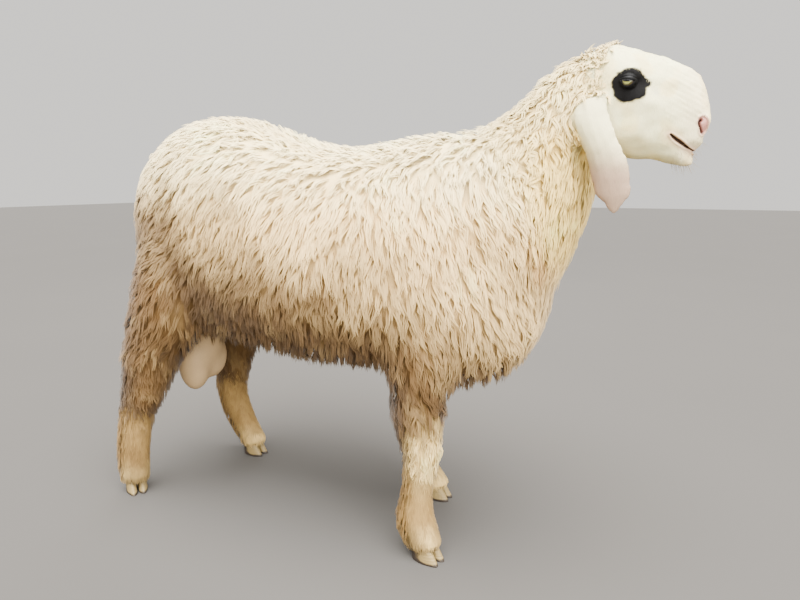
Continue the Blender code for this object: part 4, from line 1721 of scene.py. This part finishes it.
@dataclass
class Zones:
    """How likely a lock of each piece of the coat is at each point of the skin, from 0 to 1."""

    hide: Hide
    marks: Landmarks
    creases: Creases

    RUMP = -0.36  # the rump lies behind this X
    SHOULDER = 0.03  # and the shoulders ahead of this one

    def chances(self) -> dict[str, Array]:
        """The chances by the pieces' names."""
        return self._trunk() | self._head() | self._limbs()

    def _trunk(self) -> dict[str, Array]:
        """The back, belly, rump, sides and shoulders."""
        x, y, _ = self.hide.points.T
        trunk = self.hide.share(Region.TRUNK)
        top = ease(self.hide.normals[:, 2], 0.42, 0.72)
        under = ease(-self.hide.normals[:, 2], 0.40, 0.70)
        flank = trunk * (1 - top) * (1 - under)
        out = {
            "fleece_back": trunk * top,
            "fleece_belly": trunk * under,
            "fleece_rump": flank * (x <= self.RUMP),
        }
        for side, hand in SIDES.items():
            mine = y * hand > 0
            out[f"fleece_side_{side}"] = flank * (x > self.RUMP) * (x <= self.SHOULDER) * mine
            out[f"fleece_shoulder_{side}"] = flank * (x > self.SHOULDER) * mine
        return out

    def _head(self) -> dict[str, Array]:
        """The neck and the head, whose hair is finest on the muzzle and near the eyes."""
        hide, creases = self.hide, self.creases
        x, _, z = hide.points.T
        nape, nose = self.marks.nape, self.marks.nose[0]
        head, neck = hide.share(Region.HEAD), hide.share(Region.NECK)
        throat = neck * ease(hide.normals[:, 0], 0.35, 0.70)
        to_eyes = self.marks.to_eyes(hide.points)
        fine = np.maximum(ease(x, nose - 0.085, nose - 0.055), ease(to_eyes, 0.046, 0.036))
        hairy = np.ones(len(x))
        for hand in SIDES.values():
            hairy *= ease(distance_to(creases.mouth(hand), hide.flat), 0.004, 0.006)
            hairy *= ease(distance_to(creases.nostril(hand), hide.flat), 0.009, 0.011)
        hairy *= ease(to_eyes, 0.0160, 0.0180)
        return {
            "fleece_neck": neck - throat,
            "fleece_throat": throat,
            "fleece_poll": head * ease(x, nape + 0.052, nape + 0.030) * ease(z, 0.925, 0.95),
            "hair_face": head * (1 - fine),
            "hair_muzzle": head * hairy * fine,
            "hair_ears": hide.share(Region.EAR),
        }

    def _limbs(self) -> dict[str, Array]:
        """The legs, tail and scrotum."""
        share = self.hide.share
        x, _, z = self.hide.points.T
        lower = share(Region.LOWER_LEG)
        woolly = share(Region.UPPER_LEG) + lower * ease(z, 0.185, 0.275)
        behind = ease(-self.hide.normals[:, 0], 0.10, 0.60)
        return {
            "fleece_forelegs": woolly * (x > FORE),
            "fleece_hindlegs": woolly * (x <= FORE),
            "fleece_tail": share(Region.TAIL),
            "hair_legs": lower * ease(z, 0.010, 0.020),
            "hair_fringes": lower * behind * ease(z, 0.045, 0.065),
            "hair_coronets": lower * ease(z, 0.026, 0.032) * ease(z, 0.058, 0.050),
            "hair_scrotum": share(Region.SCROTUM),
        }


@dataclass
class Fleece:
    """All of the coat, piece by piece."""

    hide: Hide
    marks: Landmarks
    markings: Markings

    @staticmethod
    def woolly() -> list[Coat]:
        """The pieces of wool."""
        three, five = Strand(3), Strand(5)
        curled = {"turns": 0.9, "coil": 0.9, "strand": five, "crook": 1.9}
        out = [
            Coat(
                "fleece_back", 0.0150, 0.042, crook=1.9, stray=0.45, wave=0.003, uneven=0.20,
                bend=0.90, strand=three,
            ),
            Coat("fleece_rump", 0.0150, 0.056, stray=0.28, strand=three, bend=0.85),
            Coat(
                "fleece_belly", 0.0186, 0.045, radius=0.0018, hang=0.7, stray=0.3, bend=0.6,
                strand=three,
            ),
            Coat(
                "fleece_neck", 0.0093, 0.038, 5, 0.00145, 0.0056, wave=0.0040, stray=0.55,
                gather=0.4, **curled,
            ),
            Coat("fleece_throat", 0.0111, 0.050, stray=0.14, wave=0.0015, uneven=0.15, gather=0.3),
            Coat(
                "fleece_poll", 0.0066, 0.018, 4, 0.0013, 0.0042, wave=0.0038, stray=0.30,
                least=0.009, **curled,
            ),
            Coat("fleece_tail", 0.0150, 0.050, hang=0.4),
        ]
        for side in SIDES:
            out += [
                Coat(f"fleece_side_{side}", 0.0117, 0.056, hang=0.1, strand=three, bend=0.87),
                Coat(
                    f"fleece_shoulder_{side}", 0.0132, 0.060, hang=0.1, wave=0.0045, stray=0.22,
                    bend=0.85,
                ),
            ]
        leg = {"hang": 0.3, "stray": 0.25, "crook": 2.0, "wave": 0.0040}
        for word, spacing in (("fore", 0.0108), ("hind", 0.0116)):
            out.append(Coat(f"fleece_{word}legs", spacing, 0.036, 5, 0.0013, **leg))
        return out

    @staticmethod
    def sleek() -> list[Coat]:
        """The pieces of short hair."""
        flat = {"hairs": 1, "lock": 0.0006, "gather": 0.3, "coil": 0.2, "strand": Strand(2)}
        flat.update(short=True, wave=0.0003, bend=0.93, crook=1.8)
        loose = {"short": True, "strand": Strand(3)}
        return [
            Coat("hair_face", 0.0036, 0.010, radius=0.00050, least=0.0007, rise=0.3, **flat),
            Coat("hair_muzzle", 0.0026, 0.006, radius=0.00034, least=0.0006, rise=0.3, **flat),
            Coat("hair_ears", 0.0038, 0.007, radius=0.00045, least=0.0006, rise=0.5, **flat),
            Coat("hair_legs", 0.0044, 0.019, radius=0.0010, least=0.0034, rise=0.85, **flat),
            Coat(
                "hair_fringes", 0.0066, 0.042, 3, 0.0011, 0.0030, hang=0.4, wave=0.0026,
                stray=0.30, least=0.013, rise=1.4, tone=(0.80, 0.76, 0.70), **loose,
            ),
            Coat(
                "hair_coronets", 0.0042, 0.022, 2, 0.0009, 0.0012, hang=0.75, wave=0.0010,
                stray=0.22, least=0.004, **loose,
            ),
            Coat("hair_scrotum", 0.0060, 0.006, radius=0.0004, least=0.0008, **flat),
        ]

    def build(self) -> None:
        """Grows every piece."""
        unwrap = Unwrap(self.marks)
        chances = Zones(self.hide, self.marks, self.markings.creases).chances()
        wool = WoolFinish().material()
        # The short hair is painted a little darker and warmer towards its roots, as shade.
        hair = WoolFinish(
            "short_hair", root=(0.95, 0.92, 0.88), variety=0.05, streaks=0.06, roughness=0.7,
            sheen=0.05, depth=0.00003,
        ).material()
        for seed, coat in enumerate(self.woolly() + self.sleek(), 100):
            finish, slot = (hair, "short_hair") if coat.short else (wool, "wool")
            chance = chances[coat.name]
            coat.grow(self.hide, chance, self.markings, unwrap, finish, slot, seed)
        Bristles(self.hide, self.marks).build(hair)


@dataclass
class Bristles:
    """Lashes of the upper lids, and whiskers on the lips and chin.

    Args:
        hide: the skin that they grow on.
        marks: places on the body.
        lashes: on each lid.
    """

    hide: Hide
    marks: Landmarks
    lashes: int = 34

    STRAND = Strand(5, 0.9)

    def build(self, material: bpy.types.Material) -> bpy.types.Object:
        """Makes all of them as one piece."""
        rng = np.random.default_rng(77)
        sets = [self._lashes(side, rng) for side in SIDES] + [self._whiskers(rng)]
        starts, ways, bends, lengths, radii, tint = (np.concatenate(part) for part in zip(*sets))
        along = np.linspace(0, 1, self.STRAND.rings + 1)[None, :, None]
        lines = starts[:, None] + lengths[:, None, None] * (
            ways[:, None] * along + bends[:, None] * along**2
        )
        ahead = unit(np.gradient(lines, axis=1))
        sides = unit(np.cross(ahead, ways[:, None] + (0.0, 0.01, 1.0)))
        fronts = unit(np.cross(ahead, sides))
        points, out = self.STRAND.points(lines, sides, fronts, radii[:, None] * (1 - 0.8 * along[:, :, 0]))
        shares = np.zeros((len(points), len(REGIONS)))
        shares[:, REGIONS.index(Region.HEAD)] = 1
        roots = Unwrap(self.marks).place(starts, ways, shares)
        luck = rng.random(len(points))
        mesh = self.STRAND.mesh("bristles", points, out, roots, tint, luck, rng)
        return put("hair_bristles", mesh, material, "short_hair")

    def _lashes(self, side: str, rng: np.random.Generator) -> tuple[Array, ...]:
        """Roots, directions, bends, lengths, radii and colours of one eye's lashes."""
        lid = self.marks.lid(side)
        axes = np.array(lid.axes())
        along = np.linspace(-0.90, 0.90, self.lashes) * lid.opening[0]
        up = lid.edge(along, True) + 0.0010
        out = np.sqrt((lid.radius + 0.0012) ** 2 - along**2 - up**2)
        local = np.stack([along, up, out], axis=1)
        ways = np.stack([along / lid.opening[0] * 0.6, 0 * along - 0.25, 0 * along + 1.0], axis=1)
        ways = unit(ways + rng.normal(size=ways.shape) * 0.12)
        bends = np.tile([0.0, -0.45, -0.1], (self.lashes, 1))
        count = self.lashes
        return (
            local @ axes + lid.centre,
            ways @ axes,
            bends @ axes,
            rng.uniform(0.0065, 0.0100, count),
            np.full(count, 0.00028),
            np.tile(srgb(8, 7, 6), (count, 1)),
        )

    def _whiskers(self, rng: np.random.Generator) -> tuple[Array, ...]:
        """Roots, directions, bends, lengths, radii and colours of the whiskers."""
        x, _, z = self.hide.points.T
        nose = self.marks.nose
        chin = ease(x, nose[0] - 0.066, nose[0] - 0.045) * ease(z, nose[2] - 0.185, nose[2] - 0.198)
        chin = chin * ease(self.hide.normals[:, 2], 0.1, -0.3)
        lip = bell(x - nose[0] + 0.022, 0.014) * bell(z - nose[2] + 0.176, 0.010)
        chance = self.hide.share(Region.HEAD) * np.clip(chin + 0.3 * lip, 0, 1)
        sites = self.hide.scatter(chance, 0.0068, rng)
        count = len(sites.points)
        ways = unit(sites.normals + (0.55, 0.0, -0.75) + rng.normal(size=(count, 3)) * 0.18)
        return (
            sites.points - sites.normals * 0.0006,
            ways,
            np.tile([0.10, 0.0, -0.20], (count, 1)),
            rng.uniform(0.008, 0.019, count),
            np.full(count, 0.00030),
            np.tile(srgb(176, 160, 130), (count, 1)),
        )


# ---------------------------------------------------------------- eyes and hooves


@dataclass
class Eyeball:
    """An eyeball with a slightly domed cornea."""

    marks: Landmarks
    side: str
    rings: int = 48
    cornea: float = 0.0008
    iris: float = 0.0098
    gaze: Triple = (-0.08, 0.96, 0.17)

    def build(self) -> bpy.types.Object:
        """Makes it in place of its node."""
        radius = self.marks.eye_radius - 0.0003
        along, up, out = self.marks.lid(self.side, facing=self.gaze).axes()
        mesh = worked(
            bpy.data.meshes.new("eyeball"),
            lambda form: bmesh.ops.create_uvsphere(
                form, u_segments=64, v_segments=self.rings, radius=radius
            ),
        )
        local = read_points(mesh)
        off = np.hypot(local[:, 0], local[:, 1])
        local[:, 2] += self.cornea * bell(off, self.iris * 0.8) * (local[:, 2] > 0)
        if np.cross(along, up) @ out < 0:
            mesh.flip_normals()
        place = local[:, :1] * along + local[:, 1:2] * up + local[:, 2:] * out
        move(mesh, self.marks.eyes[self.side] + place)
        hold(mesh, STRAND, local / self.iris)
        piece = put(f"eyeball_{self.side}", mesh, EyeFinish().material(), "eye")
        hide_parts(f"eye_{self.side}")
        return piece


@dataclass
class LidEdge:
    """The moist dark rim of an eye's lids."""

    marks: Landmarks
    side: str
    thickness: float = 0.0005
    corners: int = 8

    def build(self) -> bpy.types.Object:
        """Makes the rim as a tube that runs round the gap."""
        lid = self.marks.lid(self.side)
        half = lid.opening[0]
        turn = np.linspace(0, math.pi, 41)
        along = -half * np.cos(turn)
        upper = np.stack([along, lid.edge(along, True)], axis=1)
        lower = np.stack([along, lid.edge(along, False)], axis=1)[::-1][1:-1]
        path = np.vstack([upper, lower])
        out = np.sqrt((lid.radius + 0.0006) ** 2 - (path**2).sum(axis=1))
        axes = np.array(lid.axes())
        middle = np.column_stack([path, out])
        ahead = unit(np.roll(middle, -1, axis=0) - np.roll(middle, 1, axis=0))
        away = unit(middle)
        across = unit(np.cross(ahead, away))
        points, sides = [], self.corners
        for i in range(sides):
            angle = 2 * math.pi * i / sides
            step = across * math.cos(angle) + away * math.sin(angle)
            points.append(middle + step * self.thickness)
        points = np.stack(points, axis=1).reshape(-1, 3) @ axes + lid.centre
        count = len(path)
        faces = []
        for i in range(count):
            for j in range(sides):
                a, b = i * sides + j, i * sides + (j + 1) % sides
                c, d = (a + sides) % (count * sides), (b + sides) % (count * sides)
                faces += [(a, b, d), (a, d, c)]
        mesh = mesh_of("lid_edge", points, np.array(faces))
        worked(mesh, lambda form: bmesh.ops.recalc_face_normals(form, faces=form.faces))
        return put(f"lid_edge_{self.side}", mesh, WetFinish().material(), "short_hair")


@dataclass
class Hoof:
    """One claw of a hoof, made finer and given growth rings."""

    node: bpy.types.Object
    voxel: float = 0.0021

    def build(self, material: bpy.types.Material) -> bpy.types.Object:
        """Makes it in place of its node."""
        mesh = fused(self.node.data.copy(), self.voxel, soften=3)
        points = read_points(mesh)
        low, high = points.min(axis=0), points.max(axis=0)
        up = (points[:, 2] - low[2]) / (high[2] - low[2])
        toe = (points[:, 0] - low[0]) / (high[0] - low[0])
        dark = 0.85 * ease(toe, 0.60, 0.10) + 0.80 * ease(up, 0.34, 0.06)
        normals = point_normals(points, read_triangles(mesh))
        rings = 0.00020 * np.sin(up * 34 + 1.5 * toe) * ease(up, 0.03, 0.15)
        flat = ease(np.abs(normals[:, 2]), 0.9, 0.6)
        points = points + normals * (rings * flat)[:, None]
        points[:, 2] = np.maximum(points[:, 2], low[2])
        move(mesh, points)
        hold(mesh, STRAND, columns(dark, up, toe))
        name = self.node.name
        piece = put(name.replace("claw", "hoof"), mesh, material, "hoof_horn")
        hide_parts(name)
        return piece


@dataclass
class Dewclaws:
    """The two small horny points behind each fetlock.

    Args:
        hide: the skin that they stand on.
        height: of their middles above the floor.
        radii: half their length along the leg's side, breadth and height.
    """

    hide: Hide
    height: float = 0.078
    radii: Triple = (0.0085, 0.0070, 0.0105)

    def build(self, material: bpy.types.Material) -> bpy.types.Object:
        """Makes all eight as one piece."""
        data = worked(
            bpy.data.meshes.new("dewclaw"),
            lambda form: bmesh.ops.create_uvsphere(form, u_segments=20, v_segments=14, radius=1.0),
        )
        shape, faces = read_points(data), read_triangles(data)
        points, triangles = [], []
        for leg in Region.LOWER_LEG.value:
            for hand in SIDES.values():
                spot, away = self._spot(leg, hand)
                side = unit(np.cross((0.0, 0.0, 1.0), away))
                body = shape * self.radii
                body[:, 0] *= 1 - 0.35 * shape[:, 2]
                body[:, 0] -= 0.004 * shape[:, 2]
                place = body[:, :1] * away + body[:, 1:2] * side
                points.append(spot + place + np.array([0, 0, 1.0]) * body[:, 2:])
                triangles.append(faces + len(shape) * len(triangles))
        mesh = mesh_of("dewclaws", np.vstack(points), np.vstack(triangles))
        height = np.tile(shape[:, 2], len(points))
        hold(mesh, STRAND, columns(0.55 - 0.35 * height, height, height))
        return put("dewclaws", mesh, material, "hoof_horn")

    def _spot(self, leg: str, hand: float) -> tuple[Array, Array]:
        """Where one stands on the skin, and which way is out of it."""
        low, high = np.array(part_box(leg))
        low[2], high[2] = self.height - 0.01, self.height + 0.01
        rows = self.hide.points
        ring = rows[((rows > low) & (rows < high)).all(axis=1)]
        centre = (ring.min(axis=0) + ring.max(axis=0)) / 2
        away = unit(np.array([-1.0, hand * 0.55, 0.0]))
        start = Vector((centre[0], centre[1], self.height))
        hit = self.hide.tree.ray_cast(start + Vector(away) * 0.08, -Vector(away), 0.09)[0]
        spot = np.array(hit if hit else start + Vector(away) * 0.02)
        return spot, away


# ---------------------------------------------------------------- the studio


@dataclass
class Studio:
    """A pale floor, soft light and the camera.

    Args:
        floor: breadth of the floor.
        lens: of the camera, in millimetres on a sensor 36 mm wide.
        stand: where the camera stands.
        pitch: how far it looks down, in degrees.
        heading: how far it is turned from looking along +Y, in degrees.
    """

    floor: float = 40.0
    lens: float = 27.045
    stand: Triple = (0.6263, -1.215, 0.802)
    pitch: float = 11.0
    heading: float = 24.0

    def build(self) -> None:
        """Makes all of it."""
        self._floor()
        self._world()
        angle = math.radians(58.0)
        self._light("sky", "SUN", (0.16, -0.30, 1.0), (0.0, 0.0, 0.0), angle=angle, energy=20.0)
        self._light("front", "AREA", (2.6, -2.4, 1.7), (0.3, 0.0, 0.6), size=2.2, energy=185.0)
        self._light("behind", "AREA", (-1.6, 3.0, 2.8), (0.0, 0.0, 0.7), size=2.6, energy=80.0)
        self._camera()

    def _floor(self) -> None:
        """A large level floor."""
        mesh = worked(
            bpy.data.meshes.new("floor"),
            lambda form: bmesh.ops.create_grid(form, x_segments=4, y_segments=4, size=self.floor / 2),
        )
        mesh.materials.append(FloorFinish().material())
        floor = linked("floor", mesh)

    @staticmethod
    def _world() -> None:
        """Even pale light from all round."""
        world = bpy.data.worlds.new("studio")
        world.use_nodes = True
        background = world.node_tree.nodes["Background"]
        background.inputs["Color"].default_value = (1.0, 0.97, 0.92, 1.0)
        background.inputs["Strength"].default_value = 1.1
        bpy.context.scene.world = world

    @staticmethod
    def _light(name: str, kind: str, place: Triple, target: Triple, **settings: float) -> None:
        """A light that looks from a place to a target.

        Args:
            name: the light's name.
            kind: Blender's type of light.
            place: where it is; of a sun only its way from the target counts.
            target: what it looks at.
            settings: its angle or size, and its energy.
        """
        light = bpy.data.lights.new(name, kind)
        for setting, value in settings.items():
            setattr(light, setting, value)
        lamp = linked(name, light)
        lamp.location = place
        lamp.rotation_euler = (Vector(target) - Vector(place)).to_track_quat("-Z", "Y").to_euler()

    def _camera(self) -> None:
        """The camera."""
        data = bpy.data.cameras.new("camera")
        data.sensor_width = 36.0
        data.lens = self.lens
        data.clip_start = 0.02
        camera = linked("camera", data)
        camera.location = self.stand
        camera.rotation_euler = (math.radians(90 - self.pitch), 0.0, math.radians(self.heading))
        bpy.context.scene.camera = camera


def main() -> None:
    """Builds the animal and the studio round the frame."""
    logging.basicConfig(level=logging.INFO, format="%(name)s: %(message)s")
    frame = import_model()
    marks = Landmarks()
    markings = Markings(marks)
    hide = Skin(frame["nodes"], marks, markings).build()
    for side in SIDES:
        Eyeball(marks, side).build()
        LidEdge(marks, side).build()
    horn = HornFinish().material()
    for name, node in frame["nodes"].items():
        if name.startswith("claw_"):
            Hoof(node).build(horn)
    Dewclaws(hide).build(horn)
    Fleece(hide, marks, markings).build()
    Studio().build()


if __name__ == "__main__":
    main()
